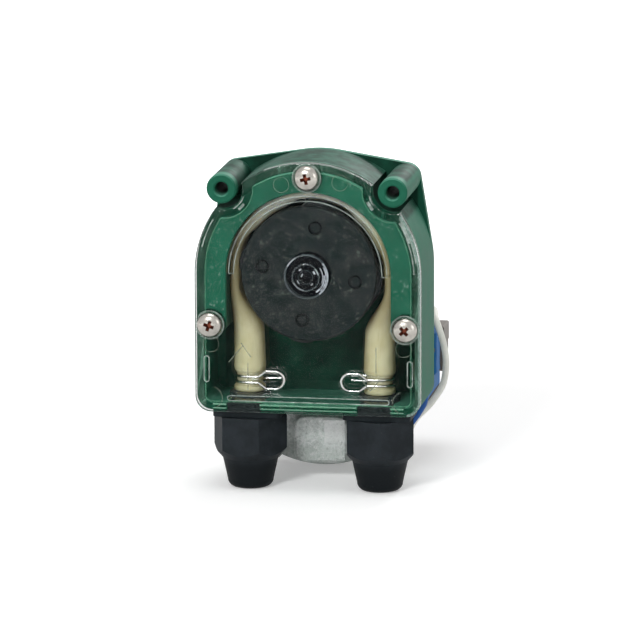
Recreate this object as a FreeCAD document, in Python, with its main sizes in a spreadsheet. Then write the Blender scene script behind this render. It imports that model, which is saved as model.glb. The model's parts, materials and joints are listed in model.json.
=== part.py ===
import FreeCAD, Part
import math
import os
import Sketcher
from FreeCAD import Vector

os.makedirs("parts", exist_ok=True)

# Lengths are in millimetres and angles in degrees. Depths count back from the front of the clear cover,
# heights count up from the rotor axis, and +X is to the right as one faces the pump.
DRIVING = {
    # pump head
    "head_depth": 34.0,
    "foot_drop": 49.0,
    "corner_radius": 5.5,
    "edge_break": 0.5,
    "flange_thickness": 3.0,
    "outer_wall": 2.4,
    "ledge_depth": 4.0,
    "land_depth": 2.1,
    "land_drop": 19.5,
    "boss_radius": 5.2,
    "notch_radius": 7.4,
    "panel_spacing": 60.0,
    "panel_rise": 30.0,
    "panel_hole_radius": 2.4,
    "seat_depth": 0.5,
    "seat_clearance": 0.3,
    # clear cover
    "cover_plate": 2.0,
    "cover_rim": 3.2,
    "rib_depth": 7.5,
    "rib_thickness": 1.75,
    "arc_rib_inset": 1.2,
    "bar_lift": 4.7,
    "bar_end_inset": 11.1,
    "side_rib_inset": 3.8,
    "side_rib_lift": 10.3,
    "side_rib_length": 9.2,
    "bearing_ring_radius": 7.9,
    "bearing_ring_height": 1.3,
    "bearing_nose_radius": 5.0,
    "bearing_nose_height": 3.0,
    # cover screws
    "side_screw_inset": 5.3,
    "screw_boss_gap": 0.3,
    "screw_drop": 18.1,
    "top_screw_inset": 5.2,
    "screw_head_radius": 4.5,
    "screw_head_height": 2.6,
    "screw_shank_radius": 2.2,
    "screw_length": 16.0,
    "screw_boss_radius": 5.0,
    "thread_clearance": 0.15,
    # rotor
    "rotor_depth": 3.9,
    "rotor_radius": 23.8,
    "disc_thickness": 3.1,
    "rotor_gap": 19.0,
    "hub_radius": 7.0,
    "journal_radius": 2.3,
    "roller_radius": 8.8,
    "roller_pitch": 16.5,
    "roller_turn": 8.2,
    "roller_pin_radius": 2.0,
    "pin_groove_width": 0.45,
    "pin_groove_depth": 0.9,
    "running_clearance": 0.06,
    "end_play": 0.25,
    "edge_round": 0.7,
    "shaft_radius": 3.0,
    # tube
    "tube_radius": 5.0,
    "tube_bore_radius": 3.05,
    "tube_gap": 0.3,
    "squeezed_thickness": 3.3,
    "squeezed_width": 14.0,
    "leg_place": 23.0,
    "squeeze_end": 7.0,
    "round_start": 23.0,
    "tube_end_gap": 0.5,
    "tube_swell": 0.6,
    "tube_neck_radius": 4.4,
    # hose fittings and nuts
    "nipple_bore_radius": 2.0,
    "nipple_length": 8.0,
    "nipple_taper": 1.0,
    "neck_radius": 5.9,
    "slot_clearance": 0.1,
    "inner_flange_radius": 7.2,
    "inner_flange_height": 2.1,
    "outer_flange_width": 24.0,
    "outer_flange_depth": 18.0,
    "outer_flange_height": 3.3,
    "spigot_radius": 8.8,
    "spigot_length": 9.7,
    "nut_radius": 13.4,
    "nut_hex_height": 15.6,
    "nut_bevel_height": 4.0,
    "nut_length": 26.1,
    "nut_shoulder_radius": 9.8,
    "nut_end_radius": 8.1,
    "nut_round": 2.8,
    "flange_round": 2.0,
    "nut_bore_radius": 4.1,
    "nut_bore_length": 8.0,
    "nut_cavity_radius": 9.1,
    "left_nut_turn": 22.3,
    "right_nut_turn": 10.0,
    # wire clamps
    "clamp_lift": 4.4,
    "wire_radius": 0.5,
    "ring_pitch": 2.1,
    "ear_reach": 12.9,
    "ear_half_height": 3.1,
    "inner_wire_reach": 10.6,
    # gearbox
    "gearbox_top_radius": 24.0,
    "gearbox_half_width": 27.0,
    "gearbox_corner_radius": 12.0,
    "gearbox_foot_radius": 36.5,
    "gearbox_foot_drop": 74.0,
    "gearbox_depth": 20.0,
    "casting_wall": 2.6,
    "casting_front": 3.4,
    "lid_thickness": 3.0,
    "spigot_ring_radius": 9.4,
    "spigot_ring_height": 2.4,
    "bush_radius": 5.0,
    "lug_radius": 4.4,
    "lug_thickness": 4.0,
    "side_lug_place": 31.5,
    "side_lug_drop": 8.0,
    "top_lug_place": 14.0,
    "top_lug_rise": 28.5,
    "small_screw_radius": 1.5,
    "post_radius": 3.5,
    "upper_post_place": 23.5,
    "upper_post_rise": 10.0,
    "lower_post_place": 26.2,
    "lower_post_drop": 29.0,
    "foot_post_place": 18.5,
    "foot_post_drop": 70.0,
    "pad_half_width": 9.8,
    "pad_thickness": 5.0,
    "pad_top_drop": 55.6,
    "pad_foot_lift": 1.4,
    "pad_round": 4.0,
    "pad_edge_round": 1.2,
    "pad_step": 0.6,
    "pad_step_place": 1.2,
    "shelf_left": 12.0,
    "shelf_right": 20.1,
    "shelf_top_drop": 66.5,
    "shelf_foot_drop": 73.5,
    "shelf_depth": 12.0,
    # gears
    "pinion_teeth": 12.0,
    "first_teeth": 48.0,
    "second_teeth": 48.0,
    "output_teeth": 45.0,
    "first_module": 0.5,
    "second_module": 0.6,
    "output_module": 0.8,
    "first_arbor_angle": -51.2,
    "second_arbor_angle": -107.9,
    "motor_angle": -133.3,
    "output_face": 5.0,
    "second_face": 3.6,
    "first_face": 3.0,
    "gear_gap": 0.8,
    "arbor_radius": 1.5,
    # motor
    "motor_gap": 10.0,
    "stack_depth": 16.0,
    "stack_reach": 20.5,
    "stack_half_height": 20.4,
    "stack_yoke": 10.0,
    "bore_radius": 12.0,
    "air_gap": 0.35,
    "pole_reach": 15.5,
    "limb_place": 22.0,
    "limb_half_width": 4.5,
    "bobbin_wall": 1.0,
    "winding_thickness": 5.7,
    "tape_thickness": 0.3,
    "flange_reach": 14.2,
    "terminal_reach": 15.7,
    "terminal_height": 10.4,
    "bobbin_flange": 1.5,
    "motor_shaft_radius": 1.5,
    "bracket_thickness": 2.0,
    "bracket_half_width": 7.5,
    "bearing_radius": 4.0,
    "bearing_length": 5.0,
    "bolt_place": 16.2,
    "bolt_radius": 1.9,
    # leads
    "lead_radius": 1.2,
    "plug_width": 9.6,
    "plug_height": 7.0,
    "plug_edge": 2.5,
}


class Size:
    """A size worked out from the sheet: its value now, and the same sum as the sheet's expression."""

    def __init__(self, value, text):
        self.value = float(value)
        self.text = text

    def __add__(self, other):
        other = as_size(other)
        return Size(self.value + other.value, f"({self.text} + {other.text})")

    def __sub__(self, other):
        other = as_size(other)
        return Size(self.value - other.value, f"({self.text} - {other.text})")

    def __mul__(self, other):
        other = as_size(other)
        return Size(self.value * other.value, f"({self.text} * {other.text})")

    def __truediv__(self, other):
        other = as_size(other)
        return Size(self.value / other.value, f"({self.text} / {other.text})")

    def __neg__(self):
        return Size(-self.value, f"(-1 * {self.text})")

    def __radd__(self, other):
        return as_size(other) + self

    def __rsub__(self, other):
        return as_size(other) - self

    def __rmul__(self, other):
        return as_size(other) * self

    def __rtruediv__(self, other):
        return as_size(other) / self


def as_size(number):
    if isinstance(number, Size):
        return number
    return Size(number, f"({number})")


def sine(angle):
    angle = as_size(angle)
    return Size(math.sin(math.radians(angle.value)), f"sin({angle.text} * 1deg)")


def cosine(angle):
    angle = as_size(angle)
    return Size(math.cos(math.radians(angle.value)), f"cos({angle.text} * 1deg)")


def arc_cosine(ratio):
    return Size(math.degrees(math.acos(ratio.value)), f"(acos({ratio.text}) / 1deg)")


def arc_sine(ratio):
    return Size(math.degrees(math.asin(ratio.value)), f"(asin({ratio.text}) / 1deg)")


def arc_tangent(ratio):
    return Size(math.degrees(math.atan(ratio.value)), f"(atan({ratio.text}) / 1deg)")


def root(number):
    return Size(math.sqrt(number.value), f"sqrt({number.text})")


doc = FreeCAD.newDocument("DosingPump")
sheet = doc.addObject("Spreadsheet::Sheet", "Sizes")
for row, (alias, number) in enumerate(DRIVING.items(), start=1):
    sheet.set(f"A{row}", alias.replace("_", " "))
    sheet.set(f"B{row}", str(number))
    sheet.setAlias(f"B{row}", alias)
doc.recompute()


class Sizes:
    """The sheet's cells by name."""

    def __getattr__(self, alias):
        return Size(float(getattr(sheet, alias)), f"Sizes.{alias}")


s = Sizes()
bound = []
pieces = []


def bind(thing, path, size):
    """Ties a property to the sheet, and notes what it should come to."""
    size = as_size(size)
    thing.setExpression(path, size.text)
    bound.append((thing, path, size))


def place(node, x=0, depth=0, height=0):
    """Puts a finished piece in the pump, whose origin lies between the panel screws on the mounting face."""
    bind(node, "Placement.Base.x", x)
    bind(node, "Placement.Base.y", depth - s.head_depth)
    bind(node, "Placement.Base.z", height - s.panel_rise)
    pieces.append(node)


# Sketches and features

def new_body(label):
    body = doc.addObject("PartDesign::Body", label)
    body.Label = label
    return body


def new_sketch(body, plane, offset=0):
    """A sketch on one of the body's own planes, moved along the plane's normal."""
    sketch = body.newObject("Sketcher::SketchObject", "Sketch")
    support = next(item for item in body.Origin.OriginFeatures if item.Role == plane)
    sketch.AttachmentSupport = [(support, "")]
    sketch.MapMode = "FlatFace"
    bind(sketch, "AttachmentOffset.Base.z", offset)
    return sketch


def front_sketch(body, depth):
    """A sketch that faces the front, x across and y up, at a depth behind the cover's front."""
    return new_sketch(body, "XZ_Plane", -as_size(depth))


def fix_point(sketch, index, end, x, y):
    for kind, size, axis in (("DistanceX", x, -2), ("DistanceY", y, -1)):
        if not isinstance(size, Size) and size == 0:
            sketch.addConstraint(Sketcher.Constraint("PointOnObject", index, end, axis))
            continue
        size = as_size(size)
        number = sketch.addConstraint(Sketcher.Constraint(kind, -1, 1, index, end, size.value))
        bind(sketch, f"Constraints[{number}]", size)


def arc_centre(start, stop, radius, turn):
    """The centre of the shorter arc from start to stop; turn is 1 where it runs counter-clockwise."""
    chord = stop - start
    height = math.sqrt(max(radius * radius - chord.Length * chord.Length / 4, 0))
    side = Vector(-chord.y, chord.x, 0).normalize()
    return (start + stop) * 0.5 + side * height * turn


def outline(sketch, corners):
    """A closed outline. A corner is (x, y), or (x, y, radius, turn) where an arc ends there."""
    spots = [Vector(as_size(corner[0]).value, as_size(corner[1]).value, 0) for corner in corners]
    ends = []
    for number, corner in enumerate(corners):
        start, stop = spots[number - 1], spots[number]
        if len(corner) == 2:
            index = sketch.addGeometry(Part.LineSegment(start, stop), False)
            ends.append((index, 1, 2))
            continue
        radius, turn = corner[2], corner[3]
        centre = arc_centre(start, stop, as_size(radius).value, turn)
        first, last = (start, stop) if turn > 0 else (stop, start)
        circle = Part.Circle(centre, Vector(0, 0, 1), as_size(radius).value)
        angles = [math.atan2(spot.y - centre.y, spot.x - centre.x) for spot in (first, last)]
        index = sketch.addGeometry(Part.ArcOfCircle(circle, angles[0], angles[1]), False)
        ends.append((index, 1, 2) if turn > 0 else (index, 2, 1))
    for number, corner in enumerate(corners):
        index, start, stop = ends[number]
        before = ends[number - 1]
        sketch.addConstraint(Sketcher.Constraint("Coincident", before[0], before[2], index, start))
        fix_point(sketch, index, stop, corner[0], corner[1])
        if len(corner) == 4:
            number = sketch.addConstraint(Sketcher.Constraint("Radius", index, as_size(corner[2]).value))
            bind(sketch, f"Constraints[{number}]", corner[2])


def circle(sketch, x, y, radius):
    middle = Vector(as_size(x).value, as_size(y).value, 0)
    index = sketch.addGeometry(Part.Circle(middle, Vector(0, 0, 1), as_size(radius).value), False)
    number = sketch.addConstraint(Sketcher.Constraint("Radius", index, as_size(radius).value))
    bind(sketch, f"Constraints[{number}]", radius)
    fix_point(sketch, index, 3, x, y)


def rectangle(sketch, left, bottom, right, top):
    outline(sketch, [(left, bottom), (right, bottom), (right, top), (left, top)])


def pad(body, sketch, length, along_normal=False):
    feature = body.newObject("PartDesign::Pad", "Pad")
    feature.Profile = sketch
    bind(feature, "Length", length)
    feature.Reversed = not along_normal
    doc.recompute()
    return feature


def pocket(body, sketch, length, along_normal=False):
    """Cuts against the sketch's normal, or along it, and makes sure that it cut something."""
    before = body.Shape.Volume
    feature = body.newObject("PartDesign::Pocket", "Pocket")
    feature.Profile = sketch
    bind(feature, "Length", length)
    feature.Reversed = along_normal
    doc.recompute()
    if body.Shape.Volume > before - 1e-6:
        raise ValueError(f"a pocket in {body.Label} cuts nothing")
    return feature


def turn_profile(body, plane, corners, cut=False):
    """Revolves a half profile about the plane's upright axis."""
    sketch = new_sketch(body, plane)
    outline(sketch, corners)
    before = body.Shape.Volume if cut else 0
    feature = body.newObject("PartDesign::Groove" if cut else "PartDesign::Revolution", "Turned")
    feature.Profile = sketch
    feature.ReferenceAxis = (sketch, ["V_Axis"])
    feature.Angle = 360
    doc.recompute()
    if cut and body.Shape.Volume > before - 1e-6:
        raise ValueError(f"a groove in {body.Label} cuts nothing")
    return feature


def soften(body, radius, wanted, kind="Fillet"):
    """Rounds or chamfers those edges of a body that wanted() picks by their middle and their shape."""
    tip = body.Tip
    names = []
    for number, edge in enumerate(tip.Shape.Edges, start=1):
        middle = edge.valueAt((edge.FirstParameter + edge.LastParameter) / 2)
        if wanted(middle, edge):
            names.append(f"Edge{number}")
    if not names:
        raise ValueError(f"no edge to soften on {body.Label}")
    feature = body.newObject(f"PartDesign::{kind}", kind)
    feature.Base = (tip, names)
    bind(feature, "Radius" if kind == "Fillet" else "Size", radius)
    doc.recompute()
    if feature.Shape.isNull() or abs(feature.Shape.Volume - tip.Shape.Volume) < 1e-6:
        raise ValueError(f"softening {body.Label} changes nothing")
    return feature


def level_edge(edge, depth):
    """True for an edge that lies wholly at one depth."""
    return all(abs(vertex.Point.y - depth) < 1e-6 for vertex in edge.Vertexes)


def turned_body(label, plane, corners):
    body = new_body(label)
    turn_profile(body, plane, corners)
    return body


# Primitives and booleans

def post(name, x, depth, height, radius, length):
    """A round bar that runs back from its place."""
    bar = doc.addObject("Part::Cylinder", name)
    bar.Placement.Rotation = FreeCAD.Rotation(Vector(1, 0, 0), -90)
    bind(bar, "Radius", radius)
    bind(bar, "Height", length)
    bind(bar, "Placement.Base.x", x)
    bind(bar, "Placement.Base.y", depth)
    bind(bar, "Placement.Base.z", height)
    return bar


def block(name, x, depth, height, width, length, tall):
    """A box from its left, front and lower corner."""
    box = doc.addObject("Part::Box", name)
    for path, size in (("Length", width), ("Width", length), ("Height", tall),
                       ("Placement.Base.x", x), ("Placement.Base.y", depth), ("Placement.Base.z", height)):
        bind(box, path, size)
    return box


def fused(name, *shapes):
    joined = doc.addObject("Part::MultiFuse", name)
    joined.Shapes = list(shapes)
    return joined


def cut(name, base, *tools):
    tool = tools[0] if len(tools) == 1 else fused(name + "Tools", *tools)
    result = doc.addObject("Part::Cut", name)
    result.Base = base
    result.Tool = tool
    return result


def group(label, solids):
    """Identical pieces that share one node."""
    compound = doc.addObject("Part::Compound", label)
    compound.Links = solids
    compound.Label = label
    return compound


def shaped(label, shape):
    """A piece whose form neither sketches nor primitives suit."""
    piece = doc.addObject("Part::Feature", label)
    piece.Shape = shape
    piece.Label = label
    return piece


def screw(name, x, depth, height, shank_radius, length, head_radius, head_height, faces_front=True):
    """A pan-head screw with a cross recess; depth is where its head seats."""
    side = -1 if faces_front else 1
    top = depth + side * head_height
    shank = post(name + "Shank", x, depth if faces_front else depth - length, height, shank_radius, length)
    rim = post(name + "Rim", x, depth - head_height / 2 if faces_front else depth, height,
               head_radius, head_height / 2)
    crown = doc.addObject("Part::Cone", name + "Crown")
    crown.Placement.Rotation = FreeCAD.Rotation(Vector(1, 0, 0), 90 if faces_front else -90)
    bind(crown, "Radius1", head_radius)
    bind(crown, "Radius2", head_radius * 0.62)
    bind(crown, "Height", head_height / 2)
    bind(crown, "Placement.Base.x", x)
    bind(crown, "Placement.Base.y", depth + side * head_height / 2)
    bind(crown, "Placement.Base.z", height)
    head = fused(name + "Solid", shank, rim, crown)
    reach = head_radius * 0.55
    slit = head_radius * 0.11
    sink = head_height * 0.6
    front = top if faces_front else top - sink
    flat = block(name + "Flat", x - reach, front, height - slit, 2 * reach, sink, 2 * slit)
    upright = block(name + "Upright", x - slit, front, height - reach, 2 * slit, sink, 2 * reach)
    return cut(name, head, flat, upright)


# Outlines that several pieces share

track_radius = s.roller_pitch + s.roller_radius + s.tube_gap + s.squeezed_thickness + s.slot_clearance
head_half_width = track_radius + s.screw_boss_gap + s.screw_boss_radius + s.side_screw_inset
boss_place = s.panel_spacing / 2
boss_distance = root(boss_place * boss_place + s.panel_rise * s.panel_rise)
boss_angle = arc_tangent(s.panel_rise / boss_place)


def notched_arch(inset):
    """The head's front outline, moved inwards by inset: a round arch with a notch round each screw tube."""
    radius = head_half_width - inset
    notch = s.notch_radius + inset
    foot = -(s.foot_drop - inset)
    corner = s.corner_radius - inset
    spread = arc_cosine((radius * radius + boss_distance * boss_distance - notch * notch)
                        / (2 * radius * boss_distance))
    low = boss_angle - spread
    high = boss_angle + spread
    return [
        (-radius, 0, radius, 1),
        (-radius, foot + corner),
        (-radius + corner, foot, corner, 1),
        (radius - corner, foot),
        (radius, foot + corner, corner, 1),
        (radius, 0),
        (radius * cosine(low), radius * sine(low), radius, 1),
        (radius * cosine(high), radius * sine(high), notch, -1),
        (-radius * cosine(high), radius * sine(high), radius, 1),
        (-radius * cosine(low), radius * sine(low), notch, -1),
    ]


def hull_arch():
    """The mounting flange's outline: the arch and both screw tubes, joined by their common tangents."""
    radius = head_half_width
    ear = s.boss_radius
    spread = arc_cosine((radius - ear) / boss_distance)
    low = boss_angle - spread
    high = boss_angle + spread
    foot = -s.foot_drop
    corner = s.corner_radius
    ear_low = (boss_place + ear * cosine(low), s.panel_rise + ear * sine(low))
    ear_high = (boss_place + ear * cosine(high), s.panel_rise + ear * sine(high))
    return [
        (-radius, 0, radius, 1),
        (-radius, foot + corner),
        (-radius + corner, foot, corner, 1),
        (radius - corner, foot),
        (radius, foot + corner, corner, 1),
        (radius, 0),
        (radius * cosine(low), radius * sine(low), radius, 1),
        ear_low,
        (ear_high[0], ear_high[1], ear, 1),
        (radius * cosine(high), radius * sine(high)),
        (-radius * cosine(high), radius * sine(high), radius, 1),
        (-ear_high[0], ear_high[1]),
        (-ear_low[0], ear_low[1], ear, 1),
        (-radius * cosine(low), radius * sine(low)),
    ]


def gearbox_outline(inset):
    """A round top and a shallow round foot with rounded corners, joined by their common tangents."""
    top = s.gearbox_top_radius - inset
    corner = s.gearbox_corner_radius - inset
    foot = s.gearbox_foot_radius - inset
    foot_height = s.gearbox_foot_radius - s.gearbox_foot_drop
    corner_x = s.gearbox_half_width - s.gearbox_corner_radius
    reach = s.gearbox_foot_radius - s.gearbox_corner_radius
    corner_drop = root(reach * reach - corner_x * corner_x) - foot_height
    distance = root(corner_x * corner_x + corner_drop * corner_drop)
    lean = arc_cosine((top - corner) / distance) - arc_tangent(corner_drop / corner_x)
    wide = corner_x * foot / reach
    low = foot_height - (corner_drop + foot_height) * foot / reach
    return [
        (-wide, low),
        (wide, low, foot, 1),
        (corner_x + corner * cosine(lean), corner * sine(lean) - corner_drop, corner, 1),
        (top * cosine(lean), top * sine(lean)),
        (0, top, top, 1),
        (-top * cosine(lean), top * sine(lean), top, 1),
        (-corner_x - corner * cosine(lean), corner * sine(lean) - corner_drop),
        (-wide, low, corner, 1),
    ][1:]


screw_rise = head_half_width - s.top_screw_inset
screw_spread = head_half_width - s.side_screw_inset
cover_screw_places = [(0, screw_rise), (-screw_spread, -s.screw_drop), (screw_spread, -s.screw_drop)]
head_screw_places = [(-s.side_lug_place, -s.side_lug_drop), (s.side_lug_place, -s.side_lug_drop),
                     (-s.top_lug_place, s.top_lug_rise), (s.top_lug_place, s.top_lug_rise)]
post_places = [(-s.upper_post_place, s.upper_post_rise), (s.upper_post_place, s.upper_post_rise),
               (-s.lower_post_place, -s.lower_post_drop), (s.lower_post_place, -s.lower_post_drop),
               (-s.foot_post_place, -s.foot_post_drop)]
floor_front = s.head_depth - s.flange_thickness
tube_depth = s.rotor_depth + s.disc_thickness + s.rotor_gap / 2
wall_top = -(s.foot_drop - s.outer_wall)
tube_end = s.foot_drop - s.outer_wall - s.inner_flange_height - s.tube_end_gap
clamp_drop = tube_end - s.clamp_lift
casting_start = s.head_depth - s.seat_depth

# Depths behind the head
lid_front = s.head_depth + s.gearbox_depth
lid_back = lid_front + s.lid_thickness
stack_front = lid_back + s.motor_gap
stack_back = stack_front + s.stack_depth
rear_plate = stack_back + s.motor_gap - s.bracket_thickness
output_front = s.head_depth + s.casting_front + s.gear_gap
second_front = output_front + s.output_face + s.gear_gap
first_front = second_front + s.second_face + s.gear_gap


def pump_housing():
    body = new_body("pump_housing")
    sketch = front_sketch(body, floor_front)
    outline(sketch, hull_arch())
    pad(body, sketch, s.flange_thickness)
    sketch = front_sketch(body, s.ledge_depth)
    outline(sketch, notched_arch(as_size(0)))
    pad(body, sketch, floor_front - s.ledge_depth)
    land(body)
    chamber(body)
    for x, height in cover_screw_places[1:]:
        sketch = front_sketch(body, s.ledge_depth)
        circle(sketch, x, height, s.screw_boss_radius)
        pad(body, sketch, floor_front - s.ledge_depth)
    for x in (-boss_place, boss_place):
        sketch = front_sketch(body, 0)
        circle(sketch, x, s.panel_rise, s.boss_radius)
        pad(body, sketch, s.head_depth)
        sketch = front_sketch(body, 0)
        circle(sketch, x, s.panel_rise, s.panel_hole_radius)
        pocket(body, sketch, s.head_depth)
    soften(body, s.edge_break, lambda middle, edge: level_edge(edge, 0), "Chamfer")
    soften(body, s.edge_break / 2, lambda middle, edge: level_edge(edge, s.land_depth.value), "Chamfer")
    for x, height in cover_screw_places:
        sketch = front_sketch(body, s.land_depth)
        circle(sketch, x, height, s.screw_boss_radius + s.tube_gap)
        pocket(body, sketch, s.ledge_depth - s.land_depth)
        sketch = front_sketch(body, s.ledge_depth)
        circle(sketch, x, height, s.screw_shank_radius + s.thread_clearance)
        pocket(body, sketch, s.screw_length - s.ledge_depth + 2)
    for x, height in head_screw_places:
        sketch = front_sketch(body, s.head_depth)
        circle(sketch, x, height, s.small_screw_radius + s.thread_clearance)
        pocket(body, sketch, s.screw_length - s.lug_thickness, along_normal=True)
    for corners in seat_outlines(s.seat_clearance):
        sketch = front_sketch(body, s.head_depth)
        outline(sketch, corners)
        pocket(body, sketch, s.seat_depth, along_normal=True)
    for x, height in head_screw_places:
        sketch = front_sketch(body, s.head_depth)
        circle(sketch, x, height, s.lug_radius + s.seat_clearance)
        pocket(body, sketch, s.seat_depth, along_normal=True)
    sketch = front_sketch(body, floor_front)
    circle(sketch, 0, 0, s.spigot_ring_radius + s.slot_clearance)
    pocket(body, sketch, s.flange_thickness)
    for side in (-1, 1):
        fitting_slot(body, side * s.leg_place)
    place(body)


def lug_root(x, height, margin):
    """The straight part of a fixing lug, from inside the gearbox out to the middle of its screw."""
    wide = s.lug_radius + margin
    if height.value > 0:
        low = s.gearbox_top_radius * 0.6
        return [(x - wide, low), (x + wide, low), (x + wide, height), (x - wide, height)]
    inner = s.gearbox_top_radius * (0.8 if x.value > 0 else -0.8)
    left, right = sorted([inner, x], key=lambda size: size.value)
    return [(left, height - wide), (right, height - wide), (right, height + wide), (left, height + wide)]


def seat_outlines(margin):
    """What the gearbox covers on the back of the head, apart from its lugs' round ends."""
    return [gearbox_outline(-margin)] + [lug_root(x, height, margin) for x, height in head_screw_places]


def land(body):
    """The raised face inside the cover's rim, down to just below the cover screws."""
    sketch = front_sketch(body, s.land_depth)
    inset = s.cover_rim + s.slot_clearance
    corners = notched_arch(inset)
    edge = head_half_width - inset
    corners[1:5] = [(-edge, -s.land_drop), (edge, -s.land_drop)]
    outline(sketch, corners)
    pad(body, sketch, s.ledge_depth - s.land_depth)


def chamber(body):
    """The track for the tube, open below into the wide space round both tube ends."""
    track = track_radius
    side = head_half_width - s.outer_wall
    corner = s.corner_radius - s.outer_wall
    sketch = front_sketch(body, s.land_depth)
    outline(sketch, [
        (0, track, track, 1),
        (-track, 0, track, 1),
        (-track, -s.land_drop),
        (-side, -s.land_drop),
        (-side, wall_top + corner),
        (-side + corner, wall_top, corner, 1),
        (side - corner, wall_top),
        (side, wall_top + corner, corner, 1),
        (side, -s.land_drop),
        (track, -s.land_drop),
        (track, 0),
    ])
    pocket(body, sketch, floor_front - s.land_depth)


def fitting_slot(body, middle):
    """The slot in the bottom wall that a hose fitting slides into from the front."""
    reach = s.neck_radius + s.slot_clearance
    sketch = new_sketch(body, "XY_Plane", -s.foot_drop)
    outline(sketch, [
        (middle - reach, s.ledge_depth - 1),
        (middle + reach, s.ledge_depth - 1),
        (middle + reach, tube_depth),
        (middle, tube_depth + reach, reach, 1),
        (middle - reach, tube_depth, reach, 1),
    ])
    pocket(body, sketch, s.outer_wall, along_normal=True)


def front_cover():
    body = new_body("front_cover")
    sketch = front_sketch(body, 0)
    outline(sketch, notched_arch(as_size(0)))
    pad(body, sketch, s.ledge_depth)
    soften(body, s.edge_break, lambda middle, edge: level_edge(edge, 0))
    sketch = front_sketch(body, s.ledge_depth)
    outline(sketch, notched_arch(s.cover_rim))
    pocket(body, sketch, s.ledge_depth - s.cover_plate, along_normal=True)
    rib = s.rib_depth - s.cover_plate
    outer = track_radius - s.arc_rib_inset + s.rib_thickness / 2
    inner = outer - s.rib_thickness
    sketch = front_sketch(body, s.cover_plate)
    outline(sketch, [
        (outer, 0), (0, outer, outer, 1), (-outer, 0, outer, 1),
        (-inner, 0), (0, inner, inner, -1), (inner, 0, inner, -1),
    ])
    pad(body, sketch, rib)
    half = s.rib_thickness / 2
    reach = head_half_width - s.bar_end_inset - half
    bar_height = s.bar_lift - s.foot_drop
    sketch = front_sketch(body, s.cover_plate)
    outline(sketch, [
        (-reach - half, bar_height, half, 1), (-reach, bar_height - half, half, 1),
        (reach, bar_height - half), (reach + half, bar_height, half, 1),
        (reach, bar_height + half, half, 1), (-reach, bar_height + half)])
    pad(body, sketch, rib)
    side_rib_place = head_half_width - s.side_rib_inset
    for middle in (-side_rib_place, side_rib_place):
        foot = s.side_rib_lift - s.foot_drop + half
        top = foot + s.side_rib_length - 2 * half
        sketch = front_sketch(body, s.cover_plate)
        outline(sketch, [
            (middle - half, foot), (middle, foot - half, half, 1), (middle + half, foot, half, 1),
            (middle + half, top), (middle, top + half, half, 1), (middle - half, top, half, 1)])
        pad(body, sketch, rib)
    for x, height in cover_screw_places:
        sketch = front_sketch(body, s.cover_plate)
        circle(sketch, x, height, s.screw_boss_radius)
        pad(body, sketch, s.ledge_depth - s.cover_plate)
        sketch = front_sketch(body, 0)
        circle(sketch, x, height, s.screw_shank_radius + s.thread_clearance)
        pocket(body, sketch, s.ledge_depth)
    for radius, height in ((s.bearing_ring_radius, s.bearing_ring_height),
                           (s.bearing_nose_radius, s.bearing_nose_height)):
        sketch = front_sketch(body, -height)
        circle(sketch, 0, 0, radius)
        pad(body, sketch, height)
        soften(body, s.edge_break, lambda middle, edge: level_edge(edge, -height.value))
    bore = s.journal_radius + s.running_clearance
    sketch = front_sketch(body, s.cover_plate)
    circle(sketch, 0, 0, bore)
    pocket(body, sketch, s.cover_plate + s.bearing_nose_height - 1, along_normal=True)
    place(body)


def cover_screws():
    solids = []
    for number, (x, height) in enumerate(cover_screw_places, start=1):
        solids.append(screw(f"CoverScrew{number}", x, as_size(0), height, s.screw_shank_radius,
                            s.screw_length, s.screw_head_radius, s.screw_head_height))
    place(group("cover_screws", solids))


# Rotor

def roller_place(number):
    angle = 90 * (number - 1) + s.roller_turn
    return s.roller_pitch * sine(angle), s.roller_pitch * cosine(angle)


def rotor_discs():
    front = s.rotor_depth
    middle = tube_depth
    back = front + 2 * s.disc_thickness + s.rotor_gap
    bore = s.shaft_radius + s.running_clearance
    soft = s.edge_round
    nose = 1.6 - s.bearing_nose_height
    front_disc = turned_body("rotor_front_disc", "XY_Plane", [
        (0, nose), (s.journal_radius, nose), (s.journal_radius, front),
        (s.rotor_radius - soft, front), (s.rotor_radius, front + soft, soft, 1),
        (s.rotor_radius, front + s.disc_thickness), (s.hub_radius, front + s.disc_thickness),
        (s.hub_radius, middle), (bore, middle), (bore, middle - 6), (0, middle - 6),
    ])
    rear_disc = turned_body("rotor_rear_disc", "XY_Plane", [
        (bore, middle), (s.hub_radius, middle), (s.hub_radius, back - s.disc_thickness),
        (s.rotor_radius, back - s.disc_thickness), (s.rotor_radius, back - soft),
        (s.rotor_radius - soft, back, soft, 1), (bore, back),
    ])
    for body, depth, along in ((front_disc, front, False), (rear_disc, back, True)):
        for number in range(1, 5):
            x, height = roller_place(number)
            sketch = front_sketch(body, depth)
            circle(sketch, x, height, s.roller_pin_radius)
            pocket(body, sketch, s.disc_thickness, along_normal=along)
            sketch = front_sketch(body, depth)
            circle(sketch, x, height, s.roller_pin_radius + s.pin_groove_width)
            pocket(body, sketch, s.pin_groove_depth, along_normal=along)
        place(body)


def roller_pins():
    solids = []
    recess = s.pin_groove_depth / 6
    for number in range(1, 5):
        x, height = roller_place(number)
        solids.append(post(f"RollerPin{number}", x, s.rotor_depth + recess, height, s.roller_pin_radius,
                           2 * s.disc_thickness + s.rotor_gap - 2 * recess))
    place(group("roller_pins", solids))


def rollers():
    start = s.rotor_depth + s.disc_thickness + s.end_play
    stop = start + s.rotor_gap - 2 * s.end_play
    bore = s.roller_pin_radius + s.running_clearance
    rim = s.roller_radius
    soft = s.edge_round
    for number in range(1, 5):
        x, height = roller_place(number)
        body = turned_body(f"roller_{number}", "XY_Plane", [
            (bore, start), (rim - soft, start), (rim, start + soft),
            (rim, stop - soft), (rim - soft, stop), (bore, stop),
        ])
        place(body, x, as_size(0), height)


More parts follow.
